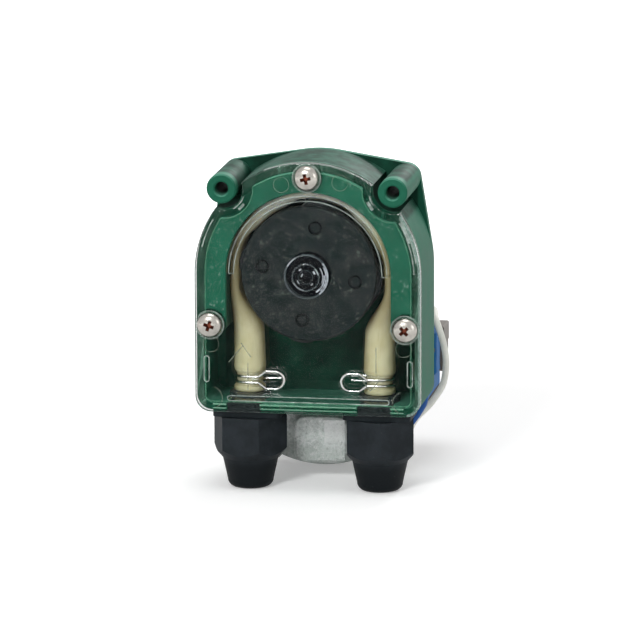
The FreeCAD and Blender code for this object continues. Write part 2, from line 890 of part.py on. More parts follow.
def output_shaft():
    start = tube_depth - 5.5
    stop = lid_back + 2
    bar = post("OutputBar", 0, start, 0, s.shaft_radius, stop - start)
    flat = block("OutputFlat", -s.shaft_radius, start, s.shaft_radius * 0.8,
                 2 * s.shaft_radius, floor_front - start, s.shaft_radius)
    groove = cut("OutputGroove", post("GrooveRing", 0, lid_back + 0.3, 0, s.shaft_radius + 1, as_size(0.7)),
                 post("GrooveCore", 0, lid_back + 0.3, 0, s.shaft_radius - 0.5, as_size(0.7)))
    place(cut("output_shaft", bar, flat, groove))
    ring = post("ClipRing", 0, lid_back + 0.35, 0, s.shaft_radius + 2, as_size(0.6))
    eye = post("ClipEye", 0, lid_back + 0.35, 0, s.shaft_radius - 0.45, as_size(0.6))
    mouth = block("ClipMouth", -s.shaft_radius * 0.7, lid_back + 0.35, -s.shaft_radius - 2.5,
                  s.shaft_radius * 1.4, as_size(0.6), s.shaft_radius)
    place(cut("shaft_clip", ring, eye, mouth))


# Tube

def racetrack(middle_x, height, half_thickness, half_span):
    """A flattened section lying level at a height: two straight sides and two round ends."""
    depth = tube_depth.value
    straight = half_span - half_thickness
    left, right = middle_x - half_thickness, middle_x + half_thickness
    spots = [Vector(left, depth - straight, height), Vector(middle_x, depth - half_span, height),
             Vector(right, depth - straight, height), Vector(right, depth + straight, height),
             Vector(middle_x, depth + half_span, height), Vector(left, depth + straight, height)]
    return Part.Wire([
        Part.Arc(spots[0], spots[1], spots[2]).toShape(),
        Part.LineSegment(spots[2], spots[3]).toShape(),
        Part.Arc(spots[3], spots[4], spots[5]).toShape(),
        Part.LineSegment(spots[5], spots[0]).toShape(),
    ])


def tube_leg(side):
    """One leg from the end of the squeezed arch down to its cut end, with the neck under the clamp."""
    x = s.leg_place.value
    outer = s.tube_radius.value
    swell = outer + s.tube_swell.value
    neck = s.tube_neck_radius.value
    clamp = -clamp_drop.value
    pitch = s.ring_pitch.value
    end = -tube_end.value
    top = -s.round_start.value
    bore = s.tube_bore_radius.value
    profile = [(bore, top), (outer, top), (outer, clamp + 4 * pitch), (swell, clamp + 2 * pitch),
               (neck, clamp + pitch), (neck, clamp - pitch), (swell, clamp - 1.5 * pitch), (swell, end),
               (bore, end)]
    wire = Part.makePolygon([Vector(radius, 0, height) for radius, height in profile + profile[:1]])
    leg = Part.Face(wire).revolve(Vector(0, 0, 0), Vector(0, 0, 1), 360)
    leg.translate(Vector(side * x, tube_depth.value, 0))
    return leg


def pump_tube():
    gap = s.tube_gap.value
    inner = s.roller_pitch.value + s.roller_radius.value + gap
    outer = (track_radius - s.slot_clearance).value
    half = (outer - inner) / 2
    middle = (outer + inner) / 2
    width = s.squeezed_width.value / 2
    flat = Part.Face(racetrack(middle, 0, half, width))
    arch = flat.revolve(Vector(0, 0, 0), Vector(0, -1, 0), 180)
    pieces_of_tube = [arch]
    low = -s.squeeze_end.value
    top = -s.round_start.value
    for side in (-1, 1):
        run = Part.Face(racetrack(side * middle, 0, half, width)).extrude(Vector(0, 0, low))
        ring = Part.Wire(Part.makeCircle(s.tube_radius.value, Vector(side * s.leg_place.value,
                                                                     tube_depth.value, top)))
        opening = Part.makeLoft([racetrack(side * middle, low, half, width), ring], True, False)
        pieces_of_tube += [run, opening, tube_leg(side)]
    solid = pieces_of_tube[0].multiFuse(pieces_of_tube[1:]).removeSplitter()
    place(shaped("pump_tube", solid))


# Hose fittings, nuts and clamps

def hose_fitting(label, side):
    body = new_body(label)
    nipple = s.tube_bore_radius - 0.05
    flange_top = -s.foot_drop
    flange_foot = flange_top - s.outer_flange_height
    spigot_foot = flange_foot - s.spigot_length
    inner_top = wall_top + s.inner_flange_height
    turn_profile(body, "XZ_Plane", [
        (s.nipple_bore_radius, inner_top + s.nipple_length),
        (s.nipple_bore_radius, spigot_foot - 3),
        (nipple, spigot_foot - 3),
        (nipple, spigot_foot),
        (s.spigot_radius, spigot_foot),
        (s.spigot_radius, flange_foot),
        (s.spigot_radius, flange_top),
        (s.neck_radius, flange_top),
        (s.neck_radius, wall_top),
        (s.inner_flange_radius, wall_top),
        (s.inner_flange_radius, inner_top),
        (nipple, inner_top),
        (nipple, inner_top + s.nipple_length - s.nipple_taper),
        (nipple - s.nipple_taper / 2, inner_top + s.nipple_length),
    ])
    sketch = new_sketch(body, "XY_Plane", flange_top)
    front = -(tube_depth - s.ledge_depth)
    rectangle(sketch, -s.neck_radius, front, s.neck_radius, -s.nipple_bore_radius - 1)
    pad(body, sketch, s.outer_wall, along_normal=True)
    sketch = new_sketch(body, "XY_Plane", flange_foot)
    half_across = s.outer_flange_width / 2
    half_depth = s.outer_flange_depth / 2
    soft = s.flange_round
    outline(sketch, [
        (-half_across, -half_depth + soft),
        (-half_across + soft, -half_depth, soft, 1),
        (half_across - soft, -half_depth),
        (half_across, -half_depth + soft, soft, 1),
        (half_across, half_depth - soft),
        (half_across - soft, half_depth, soft, 1),
        (-half_across + soft, half_depth),
        (-half_across, half_depth - soft, soft, 1),
    ])
    circle(sketch, 0, 0, s.spigot_radius - 1)
    pad(body, sketch, s.outer_flange_height, along_normal=True)
    place(body, side * s.leg_place, tube_depth, as_size(0))


def cap_nut(label, side, turn):
    body = new_body(label)
    top = -(s.foot_drop + s.outer_flange_height + 0.1)
    hex_foot = top - s.nut_hex_height
    foot = top - s.nut_length
    sketch = new_sketch(body, "XY_Plane", top)
    outline(sketch, [(s.nut_radius * sine(turn + 60 * k), -s.nut_radius * cosine(turn + 60 * k))
                     for k in range(6)])
    pad(body, sketch, s.nut_hex_height)
    slope = s.nut_bevel_height / (s.nut_radius - s.nut_shoulder_radius)
    turn_profile(body, "XZ_Plane", [
        (s.nut_shoulder_radius, hex_foot), (s.nut_radius + 1, hex_foot),
        (s.nut_radius + 1, hex_foot + s.nut_bevel_height + slope)], cut=True)
    turn_profile(body, "XZ_Plane", [
        (0, hex_foot), (0, foot), (s.nut_end_radius - s.nut_round, foot),
        (s.nut_end_radius, foot + s.nut_round, s.nut_round, 1),
        (s.nut_shoulder_radius, hex_foot)])
    cone_top = top - s.spigot_length - 0.6
    bore_top = foot + s.nut_bore_length
    turn_profile(body, "XZ_Plane", [
        (0, top), (0, foot), (s.nut_bore_radius, foot), (s.nut_bore_radius, bore_top),
        (s.nut_cavity_radius - 2, cone_top), (s.nut_cavity_radius, cone_top), (s.nut_cavity_radius, top)],
        cut=True)
    place(body, side * s.leg_place, tube_depth, as_size(0))


def rounded_path(spots, radii):
    """Straight runs joined by tangent arcs, one radius for each inner spot."""
    edges = []
    start = spots[0]
    for before, corner, after, radius in zip(spots, spots[1:], spots[2:], radii):
        one = (before - corner).normalize()
        two = (after - corner).normalize()
        turn = math.pi - one.getAngle(two)
        reach = radius * math.tan(turn / 2)
        first, last = corner + one * reach, corner + two * reach
        middle = (one + two).normalize()
        top = corner + middle * (radius / math.cos(turn / 2) - radius)
        if (first - start).Length > 1e-6:
            edges.append(Part.LineSegment(start, first).toShape())
        edges.append(Part.Arc(first, top, last).toShape())
        start = last
    edges.append(Part.LineSegment(start, spots[-1]).toShape())
    return Part.Wire(edges)


def swept_wire(path, radius):
    """A round bar along straight runs and arcs, checked against its section times its length."""
    runs = []
    for edge in path.Edges:
        start, stop = edge.valueAt(edge.FirstParameter), edge.valueAt(edge.LastParameter)
        section = Part.Face(Part.Wire(Part.makeCircle(radius, start, edge.tangentAt(edge.FirstParameter))))
        if isinstance(edge.Curve, Part.Line):
            runs.append(section.extrude(stop - start))
            continue
        angle = math.degrees(edge.Length / edge.Curve.Radius)
        axis = edge.Curve.Axis
        turned = FreeCAD.Rotation(axis, angle).multVec(start - edge.Curve.Center) + edge.Curve.Center
        if turned.distanceToPoint(stop) > 1e-4:
            axis = -axis
        runs.append(section.revolve(edge.Curve.Center, axis, angle))
    bar = runs[0].multiFuse(runs[1:])
    expected = math.pi * radius * radius * path.Length
    if len(bar.Solids) != 1 or abs(bar.Volume - expected) > 0.02 * expected:
        raise ValueError(f"a sweep of {path.Length:.1f} mm came out wrong")
    return bar.Solids[0]


def ring_edges(mean, height, start, stop):
    """An arc of a level ring about the tube's axis, between two angles counted from +X towards the back."""
    spots = []
    for angle in (start, (start + stop) / 2, stop):
        turn = math.radians(angle)
        spots.append(Vector(mean * math.cos(turn), mean * math.sin(turn), height))
    return Part.Arc(*spots).toShape()


def hose_clamp(label, side):
    """A spring clamp bent from one wire: two turns round the tube, a looped ear and two short ends."""
    wire = s.wire_radius.value
    mean = s.tube_neck_radius.value + wire + 0.05
    half = s.ring_pitch.value / 2
    reach = s.ear_reach.value
    ear = s.ear_half_height.value
    inner = s.inner_wire_reach.value
    front = -mean
    halves = []
    for sign in (1, -1):
        flare = 1.4
        spots = [Vector(0, front, sign * half), Vector(mean * 0.75, front, sign * half),
                 Vector(mean * 0.75 + 2 * flare, front, sign * ear), Vector(reach - ear, front, sign * ear)]
        run = rounded_path(spots, [flare, flare])
        loop = Part.Arc(Vector(reach - ear, front, sign * ear),
                        Vector(reach - ear + ear * math.sqrt(0.5), front, sign * ear * math.sqrt(0.5)),
                        Vector(reach, front, 0)).toShape()
        ring = ring_edges(mean, sign * half, -90, -305)
        tail_start = ring.valueAt(ring.LastParameter)
        tangent = ring.tangentAt(ring.LastParameter)
        tail_corner = tail_start + tangent * 1.5
        tail = rounded_path([tail_start, tail_corner, Vector(inner, tail_corner.y, sign * half * 0.8)], [1.0])
        halves.append((ring, run, loop, tail))
    edges = list(reversed(halves[0][3].Edges)) + [halves[0][0]] + halves[0][1].Edges + [halves[0][2]]
    edges += [halves[1][2]] + list(reversed(halves[1][1].Edges)) + [halves[1][0]] + halves[1][3].Edges
    path = Part.Wire(Part.__sortEdges__(edges))
    shape = swept_wire(path, wire)
    if side > 0:
        shape = shape.mirror(Vector(0, 0, 0), Vector(1, 0, 0))
    piece = shaped(label, shape)
    place(piece, side * s.leg_place, tube_depth, -clamp_drop)


# Gearbox

def gearbox_casting():
    body = new_body("gearbox_casting")
    start = s.head_depth
    sketch = front_sketch(body, casting_start)
    outline(sketch, gearbox_outline(as_size(0)))
    pad(body, sketch, s.gearbox_depth + s.seat_depth)
    for x, height in post_places:
        sketch = front_sketch(body, start + s.casting_front)
        circle(sketch, x, height, s.post_radius)
        pad(body, sketch, s.gearbox_depth - s.casting_front)
    for x, height in head_screw_places:
        sketch = front_sketch(body, casting_start)
        outline(sketch, lug_root(x, height, as_size(0)))
        pad(body, sketch, s.lug_thickness + s.seat_depth)
        sketch = front_sketch(body, casting_start)
        circle(sketch, x, height, s.lug_radius)
        pad(body, sketch, s.lug_thickness + s.seat_depth)
    raised_pad(body)
    sketch = front_sketch(body, start + s.casting_front)
    rectangle(sketch, s.shelf_left, -s.shelf_foot_drop, s.shelf_right, -s.shelf_top_drop)
    pad(body, sketch, s.shelf_depth)
    sketch = front_sketch(body, start - s.spigot_ring_height)
    circle(sketch, 0, 0, s.spigot_ring_radius)
    pad(body, sketch, s.spigot_ring_height)
    sketch = front_sketch(body, lid_front)
    outline(sketch, gearbox_outline(s.casting_wall))
    pocket(body, sketch, s.gearbox_depth - s.casting_front, along_normal=True)
    for x, height in post_places:
        sketch = front_sketch(body, lid_front)
        circle(sketch, x, height, s.small_screw_radius + s.thread_clearance)
        pocket(body, sketch, s.gearbox_depth - s.casting_front - 1, along_normal=True)
    for x, height in head_screw_places:
        sketch = front_sketch(body, casting_start)
        circle(sketch, x, height, s.small_screw_radius + s.thread_clearance)
        pocket(body, sketch, s.lug_thickness + s.seat_depth)
    sketch = front_sketch(body, start - s.spigot_ring_height)
    circle(sketch, 0, 0, s.bush_radius)
    pocket(body, sketch, s.spigot_ring_height + s.casting_front)
    for x, height in (first_arbor, second_arbor):
        sketch = front_sketch(body, start + s.casting_front)
        circle(sketch, x, height, s.arbor_radius)
        pocket(body, sketch, s.casting_front / 2, along_normal=True)
    place(body)


def raised_pad(body):
    """The thick pad on the gearbox's front, below the head, with a step in its face."""
    wide, soft, top = s.pad_half_width, s.pad_round, -s.pad_top_drop
    rim = s.pad_edge_round
    foot = s.pad_foot_lift - s.gearbox_foot_drop
    front = s.head_depth - s.pad_thickness
    sketch = front_sketch(body, front)
    outline(sketch, [
        (-wide, foot + soft), (-wide + soft, foot, soft, 1), (wide - soft, foot),
        (wide, foot + soft, soft, 1), (wide, top - soft), (wide - soft, top, soft, 1),
        (-wide + soft, top), (-wide, top - soft, soft, 1)])
    pad(body, sketch, s.pad_thickness)
    soften(body, rim, lambda middle, edge: level_edge(edge, front.value))
    sketch = front_sketch(body, front - s.pad_step)
    rectangle(sketch, s.pad_step_place, foot + rim, wide - rim, top - rim)
    pad(body, sketch, s.pad_step + s.pad_thickness / 2)


def gearbox_cover():
    body = new_body("gearbox_cover")
    sketch = front_sketch(body, lid_front)
    outline(sketch, gearbox_outline(as_size(0)))
    pad(body, sketch, s.lid_thickness)
    for x, height in post_places:
        sketch = front_sketch(body, lid_front)
        circle(sketch, x, height, s.post_radius)
        pad(body, sketch, s.lid_thickness)
    sketch = front_sketch(body, lid_front)
    for x, height in post_places:
        circle(sketch, x, height, s.small_screw_radius + s.thread_clearance)
    circle(sketch, 0, 0, s.bush_radius)
    circle(sketch, motor_place[0], motor_place[1], s.bearing_radius + 2)
    pocket(body, sketch, s.lid_thickness)
    sketch = front_sketch(body, lid_front)
    for x, height in (first_arbor, second_arbor):
        circle(sketch, x, height, s.arbor_radius)
    pocket(body, sketch, s.lid_thickness / 2)
    for side in (-1, 1):
        sketch = front_sketch(body, lid_back)
        circle(sketch, motor_place[0], motor_place[1] + side * s.bolt_place, s.bolt_radius)
        pocket(body, sketch, s.lid_thickness, along_normal=True)
    place(body)


def gearbox_screws():
    solids = []
    for number, (x, height) in enumerate(post_places, start=1):
        solids.append(screw(f"GearboxScrew{number}", x, lid_back, height, s.small_screw_radius,
                            s.gearbox_depth - s.casting_front, s.small_screw_radius * 1.9,
                            s.small_screw_radius * 1.4, faces_front=False))
    place(group("gearbox_screws", solids))


def head_screws():
    solids = []
    for number, (x, height) in enumerate(head_screw_places, start=1):
        solids.append(screw(f"HeadScrew{number}", x, s.head_depth + s.lug_thickness, height,
                            s.small_screw_radius, s.screw_length - 1, s.small_screw_radius * 1.9,
                            s.small_screw_radius * 1.4, faces_front=False))
    place(group("head_screws", solids))


def flanged_bush(label, depth, length, bore, radius, flange_at_back):
    """A plain bush with a thin flange on the side of the gears."""
    collar = radius + 1
    step = 0.8
    if flange_at_back:
        corners = [(bore, depth), (radius, depth), (radius, depth + length), (collar, depth + length),
                   (collar, depth + length + step), (bore, depth + length + step)]
    else:
        corners = [(bore, depth - step), (collar, depth - step), (collar, depth), (radius, depth),
                   (radius, depth + length), (bore, depth + length)]
    return turned_body(label, "XY_Plane", corners)


def bushes():
    bore = s.shaft_radius + s.running_clearance
    front = flanged_bush("output_front_bush", s.head_depth - s.spigot_ring_height,
                         s.spigot_ring_height + s.casting_front, bore, s.bush_radius, True)
    place(front)
    rear = flanged_bush("output_rear_bush", lid_front, s.lid_thickness, bore, s.bush_radius, False)
    place(rear)


# Gears

PRESSURE_ANGLE = math.radians(20)
PROFILE_SHIFT = 0.3
BACKLASH = 0.1


def gear_solid(teeth, module, shift, phase, width):
    """An involute spur gear from depth 0 back, with a tooth centred on the phase angle."""
    pitch = module * teeth / 2
    base = pitch * math.cos(PRESSURE_ANGLE)
    tip = pitch + module * (1 + shift)
    foot = pitch - module * (1.25 - shift)
    start = max(base, foot)
    at_pitch = (math.pi / 2 + 2 * shift * math.tan(PRESSURE_ANGLE)) / teeth - BACKLASH * module / pitch
    involute_at_pitch = math.tan(PRESSURE_ANGLE) - PRESSURE_ANGLE

    def half_angle(radius):
        roll = math.acos(min(base / radius, 1))
        return at_pitch + involute_at_pitch - (math.tan(roll) - roll)

    def spot(radius, angle):
        return Vector(radius * math.cos(angle), 0, radius * math.sin(angle))

    middle = (start + tip) / 2
    edges = []
    for tooth in range(teeth):
        centre = math.radians(phase) + 2 * math.pi * tooth / teeth
        following = centre + 2 * math.pi / teeth
        rise = [spot(radius, centre - half_angle(radius)) for radius in (start, middle, tip)]
        fall = [spot(radius, centre + half_angle(radius)) for radius in (tip, middle, start)]
        low = [spot(foot, centre - half_angle(start)), spot(foot, centre + half_angle(start))]
        after = spot(foot, following - half_angle(start))
        if start > foot:
            edges.append(Part.LineSegment(low[0], rise[0]).toShape())
        edges.append(Part.Arc(*rise).toShape())
        edges.append(Part.LineSegment(rise[2], fall[0]).toShape())
        edges.append(Part.Arc(*fall).toShape())
        if start > foot:
            edges.append(Part.LineSegment(fall[2], low[1]).toShape())
        edges.append(Part.LineSegment(low[1] if start > foot else fall[2],
                                      after if start > foot else spot(start, following - half_angle(start))
                                      ).toShape())
    return Part.Face(Part.Wire(edges)).extrude(Vector(0, width, 0))


def mesh_phase(phase, teeth, mate_teeth, direction):
    """The phase of the gear that meshes with one of the given phase, seen from it in a direction."""
    return direction + 180 - (180 - teeth * (direction - phase)) / mate_teeth


def round_bar(radius, depth, length):
    return Part.makeCylinder(radius, length, Vector(0, depth, 0), Vector(0, 1, 0))


def gear_train():
    small = int(s.pinion_teeth.value)
    counts = [int(s.first_teeth.value), int(s.second_teeth.value), int(s.output_teeth.value)]
    modules = [s.first_module.value, s.second_module.value, s.output_module.value]
    faces = [s.first_face.value, s.second_face.value, s.output_face.value]
    to_output = s.second_arbor_angle.value + 180
    to_second = s.first_arbor_angle.value + 180
    to_first = s.motor_angle.value + 180
    arbor = s.arbor_radius.value + s.running_clearance.value
    depths = [first_front.value, second_front.value, output_front.value]
    inside = s.head_depth.value
    through = s.gearbox_depth.value + s.lid_thickness.value
    extra = 0.4

    motor_phase = 0
    first_phase = mesh_phase(motor_phase, small, counts[0], to_first)
    second_phase = mesh_phase(0, small, counts[1], to_second)
    output_phase = mesh_phase(0, small, counts[2], to_output)

    wheel = gear_solid(counts[0], modules[0], -PROFILE_SHIFT, first_phase, faces[0])
    wheel.translate(Vector(0, depths[0], 0))
    pinion = gear_solid(small, modules[1], PROFILE_SHIFT, 0, depths[0] - depths[1] + extra)
    pinion.translate(Vector(0, depths[1] - extra, 0))
    cluster = wheel.fuse(pinion).cut(round_bar(arbor, inside, through))
    piece = shaped("first_gear_cluster", cluster)
    place(piece, first_arbor[0], as_size(0), first_arbor[1])

    wheel = gear_solid(counts[1], modules[1], -PROFILE_SHIFT, second_phase, faces[1])
    wheel.translate(Vector(0, depths[1], 0))
    pinion = gear_solid(small, modules[2], PROFILE_SHIFT, 0, depths[1] - depths[2] + extra)
    pinion.translate(Vector(0, depths[2] - extra, 0))
    collar = round_bar(3.5, depths[1] + faces[1], depths[0] - depths[1] + faces[0] - faces[1])
    cluster = wheel.fuse(pinion).fuse(collar).cut(round_bar(arbor, inside, through))
    piece = shaped("second_gear_cluster", cluster)
    place(piece, second_arbor[0], as_size(0), second_arbor[1])

    shaft = s.shaft_radius.value
    wheel = gear_solid(counts[2], modules[2], -PROFILE_SHIFT, output_phase, faces[2])
    wheel.translate(Vector(0, depths[2], 0))
    hub = round_bar(6, depths[2] + faces[2], lid_front.value - 1.3 - depths[2] - faces[2])
    wheel = wheel.fuse(hub).cut(round_bar(shaft, inside, through))
    for number in range(6):
        angle = math.radians(60 * number)
        window = round_bar(3, depths[2] - 1, faces[2] + 2)
        window.translate(Vector(11.4 * math.cos(angle), 0, 11.4 * math.sin(angle)))
        wheel = wheel.cut(window)
    place(shaped("output_gear", wheel))

    pinion = gear_solid(small, modules[0], PROFILE_SHIFT, motor_phase, faces[0] + extra)
    pinion = pinion.cut(round_bar(s.motor_shaft_radius.value, -1, 10))
    piece = shaped("motor_pinion", pinion)
    place(piece, motor_place[0], first_front, motor_place[1])


def step_from(spot, angle, distance):
    return spot[0] + distance * cosine(angle), spot[1] + distance * sine(angle)


second_arbor = step_from((as_size(0), as_size(0)), s.second_arbor_angle,
                         s.output_module * (s.output_teeth + s.pinion_teeth) / 2)
first_arbor = step_from(second_arbor, s.first_arbor_angle,
                        s.second_module * (s.second_teeth + s.pinion_teeth) / 2)
motor_place = step_from(first_arbor, s.motor_angle, s.first_module * (s.first_teeth + s.pinion_teeth) / 2)


def gear_arbors():
    solids = []
    start = s.head_depth + s.casting_front / 2
    length = lid_front + s.lid_thickness / 2 - start
    for number, (x, height) in enumerate((first_arbor, second_arbor), start=1):
        solids.append(post(f"Arbor{number}", x, start, height, s.arbor_radius, length))
    place(group("gear_arbors", solids))


# Motor

def motor_rotor():
    radius = s.bore_radius - s.air_gap
    start, stop = as_size(-3), s.stack_depth + 3
    shaft = s.motor_shaft_radius
    rotor = turned_body("motor_rotor", "XY_Plane", [
        (shaft, start), (radius - 1.5, start), (radius - 1.5, 0), (radius, 0),
        (radius, s.stack_depth), (radius - 1.5, s.stack_depth), (radius - 1.5, stop), (shaft, stop)])
    place(rotor, motor_place[0], stack_front, motor_place[1])
    bar = post("MotorBar", 0, first_front - stack_front, 0, shaft, rear_plate + 6 - first_front)
    place(group("motor_shaft", [bar]), motor_place[0], stack_front, motor_place[1])


def stator_core():
    body = new_body("stator_core")
    left = -s.stack_reach
    right = s.limb_place + s.limb_half_width - motor_place[0]
    half = s.stack_half_height
    sketch = front_sketch(body, 0)
    rectangle(sketch, left, -half, right, half)
    pad(body, sketch, s.stack_depth)
    window = half - s.stack_yoke
    sketch = front_sketch(body, 0)
    rectangle(sketch, s.pole_reach, -window, s.limb_place - s.limb_half_width - motor_place[0], window)
    pocket(body, sketch, s.stack_depth)
    sketch = front_sketch(body, 0)
    circle(sketch, 0, 0, s.bore_radius)
    pocket(body, sketch, s.stack_depth)
    sketch = front_sketch(body, 0)
    for side in (-1, 1):
        circle(sketch, 0, side * s.bolt_place, s.bolt_radius + s.thread_clearance)
    pocket(body, sketch, s.stack_depth)
    place(body, motor_place[0], stack_front, motor_place[1])


def frame_round(name, middle, height, tall, inner_x, inner_y, outer_x, outer_y):
    """A rectangular sleeve round the coil limb, from its lower height up."""
    depth = stack_front + s.stack_depth / 2
    outer = block(name + "Outer", middle - outer_x, depth - outer_y, height, 2 * outer_x, 2 * outer_y, tall)
    inner = block(name + "Inner", middle - inner_x, depth - inner_y, height, 2 * inner_x, 2 * inner_y, tall)
    return cut(name, outer, inner)


def coil():
    limb_x = s.limb_half_width
    limb_y = s.stack_depth / 2
    half = s.stack_half_height - s.stack_yoke
    low = motor_place[1] - half
    wall = s.bobbin_wall
    wind = wall + s.winding_thickness
    tape = wind + s.tape_thickness
    sleeve = frame_round("BobbinSleeve", s.limb_place, low, 2 * half,
                         limb_x, limb_y, limb_x + wall, limb_y + wall)
    depth = stack_front + limb_y
    flanges = []
    inner_edge = motor_place[0] + s.pole_reach + 0.4
    top = low + 2 * half
    lower_edge = s.limb_place + limb_x + tape + 0.4
    upper_edge = s.limb_place + s.flange_reach
    for number, height, outer_edge in ((1, low, lower_edge), (2, top - s.bobbin_flange, upper_edge)):
        plate = block(f"BobbinPlate{number}", inner_edge, depth - limb_y - tape - 1, height,
                      outer_edge - inner_edge, 2 * (limb_y + tape + 1), s.bobbin_flange)
        eye = block(f"BobbinEye{number}", s.limb_place - limb_x, depth - limb_y, height,
                    2 * limb_x, 2 * limb_y, s.bobbin_flange)
        flanges.append(cut(f"BobbinFlange{number}", plate, eye))
    inner_edge = s.limb_place + limb_x + tape + 0.9
    terminal = block("TerminalBlock", inner_edge, depth - 5, top - s.terminal_height,
                     s.limb_place + s.terminal_reach - inner_edge, 12, s.terminal_height)
    place(fused("coil_bobbin", sleeve, flanges[0], flanges[1], terminal))
    inner_low = low + s.bobbin_flange
    tall = 2 * half - 2 * s.bobbin_flange
    winding = frame_round("coil_winding", s.limb_place, inner_low, tall,
                          limb_x + wall, limb_y + wall, limb_x + wind, limb_y + wind)
    place(winding)
    wrap = frame_round("coil_tape", s.limb_place, inner_low + 0.5, tall - 1,
                       limb_x + wind, limb_y + wind, limb_x + tape, limb_y + tape)
    place(wrap)
    tabs = []
    for number, back in enumerate((4, -8), start=1):
        tabs.append(block(f"Tab{number}", s.limb_place + s.flange_reach - 4, depth + back,
                          top, 0.8, 4, TAB_HEIGHT))
    place(group("terminal_tabs", tabs))


def motor_bracket(label, plate_depth, post_depth, boss_depth):
    """A pressed strip with a bearing cup in its middle and a foot at each end that reaches the stack."""
    body = new_body(label)
    half = s.bracket_half_width
    sketch = front_sketch(body, plate_depth)
    outline(sketch, [
        (-half, -s.bolt_place), (0, -s.bolt_place - half, half, 1), (half, -s.bolt_place, half, 1),
        (half, s.bolt_place), (0, s.bolt_place + half, half, 1), (-half, s.bolt_place, half, 1)])
    pad(body, sketch, s.bracket_thickness)
    for side in (-1, 1):
        sketch = front_sketch(body, post_depth)
        circle(sketch, 0, side * s.bolt_place, s.bolt_radius + 2)
        pad(body, sketch, s.motor_gap - s.bracket_thickness)
        sketch = front_sketch(body, plate_depth if plate_depth.value < post_depth.value else post_depth)
        circle(sketch, 0, side * s.bolt_place, s.bolt_radius + s.thread_clearance)
        pocket(body, sketch, s.motor_gap)
    sketch = front_sketch(body, boss_depth)
    circle(sketch, 0, 0, s.bearing_radius + 1.8)
    pad(body, sketch, s.bearing_length)
    sketch = front_sketch(body, boss_depth)
    circle(sketch, 0, 0, s.bearing_radius)
    pocket(body, sketch, s.bearing_length)
    place(body, motor_place[0], as_size(0), motor_place[1])


def motor_frame():
    front_boss = lid_front + 0.2
    rear_boss = rear_plate
    motor_bracket("motor_front_bracket", lid_back, lid_back + s.bracket_thickness, front_boss)
    motor_bracket("motor_rear_bracket", rear_plate, stack_back, rear_boss)
    for label, depth in (("motor_front_bearing", front_boss), ("motor_rear_bearing", rear_boss)):
        bore = s.motor_shaft_radius + s.running_clearance
        bearing = turned_body(label, "XY_Plane", [
            (bore, 0), (s.bearing_radius, 0), (s.bearing_radius, s.bearing_length), (bore, s.bearing_length)])
        place(bearing, motor_place[0], depth, motor_place[1])
    solids = []
    seat = rear_plate + s.bracket_thickness
    for number, side in enumerate((-1, 1), start=1):
        solids.append(screw(f"MotorScrew{number}", motor_place[0], seat, motor_place[1] + side * s.bolt_place,
                            s.bolt_radius, seat - lid_front, s.bolt_radius * 1.9, s.bolt_radius * 1.3,
                            faces_front=False))
    place(group("motor_screws", solids))


def shading_rings():
    solids = []
    for number, side in enumerate((-1, 1), start=1):
        solids.append(block(f"ShadingRing{number}", motor_place[0] - 13, stack_front - 1.2,
                            motor_place[1] + side * 13.2 - 0.8, 7, 1.2, 1.6))
    place(group("shading_rings", solids))


# Leads

TAB_HEIGHT = 6
WHITE_ROUTE = [(32.6, 81, -25.0), (34.4, 70, -20.6), (37.0, 59, -23.5), (40.3, 57, -34.5), (41.6, 57, -42.0),
               (40.1, 57, -49.5), (36.0, 56, -56.5), (32.0, 53, -63.0), (30.2, 46.6, -71.5),
               (26.0, 46.6, -71.5)]
BLUE_ROUTE = [(32.6, 69, -26.0), (33.2, 57, -25.0), (33.5, 52, -40.0), (37.2, 49.5, -54.2),
              (29.0, 43.5, -63.0), (30.2, 42, -71.5), (26.0, 42, -71.5)]


def lead_radii(spots):
    radii = []
    for before, corner, after in zip(spots, spots[1:], spots[2:]):
        one, two = before - corner, after - corner
        turn = math.pi - one.getAngle(two)
        radii.append(0.45 * min(one.Length, two.Length) / math.tan(turn / 2))
    return radii


def leads():
    tab_top = motor_place[1] + s.stack_half_height - s.stack_yoke + TAB_HEIGHT
    for label, route in (("white_lead", WHITE_ROUTE), ("blue_lead", BLUE_ROUTE)):
        spots = [Vector(route[0][0], route[0][1], tab_top.value)] + [Vector(*spot) for spot in route]
        radii = lead_radii(spots)
        path = rounded_path(spots, radii)
        print(label, "length", round(path.Length, 1), "radii", [round(radius, 1) for radius in radii])
        place(shaped(label, swept_wire(path, s.lead_radius.value)))
    x, depth, height = BLUE_ROUTE[-1]
    plug = block("PlugBlock", s.shelf_right, depth - s.plug_edge, height - s.plug_height / 2,
                 x - s.shelf_right, s.plug_width, s.plug_height)
    place(group("lead_plug", [plug]))


pump_housing()
front_cover()
cover_screws()
rotor_discs()
roller_pins()
rollers()
output_shaft()
pump_tube()
for side, word, turn in ((-1, "left", s.left_nut_turn), (1, "right", s.right_nut_turn)):
    hose_fitting(f"{word}_fitting", side)
    cap_nut(f"{word}_nut", side, turn)
    hose_clamp(f"{word}_hose_clamp", side)
gearbox_casting()
gearbox_cover()
gearbox_screws()
head_screws()
bushes()
gear_train()
gear_arbors()
motor_rotor()
stator_core()
coil()
motor_frame()
shading_rings()
leads()
doc.recompute()

for item in doc.Objects:
    if "Invalid" in item.State or "Error" in item.State:
        raise ValueError(f"{item.Label} failed: {item.State}")
for thing, path, size in bound:
    found = thing.evalExpression(size.text)
    if abs(float(getattr(found, "Value", found)) - size.value) > 1e-6:
        raise ValueError(f"{thing.Label} {path} comes to {found}, not {size.value}")
for piece in pieces:
    if piece.Shape.isNull() or not piece.Shape.isValid():
        raise ValueError(f"{piece.Label} has no valid shape")
for piece in pieces:
    piece.Shape.exportStep(f"parts/{piece.Label}.step")
print(len(pieces), "pieces")
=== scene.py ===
import json
import math

import bmesh
import bpy
from mathutils import Matrix, Vector


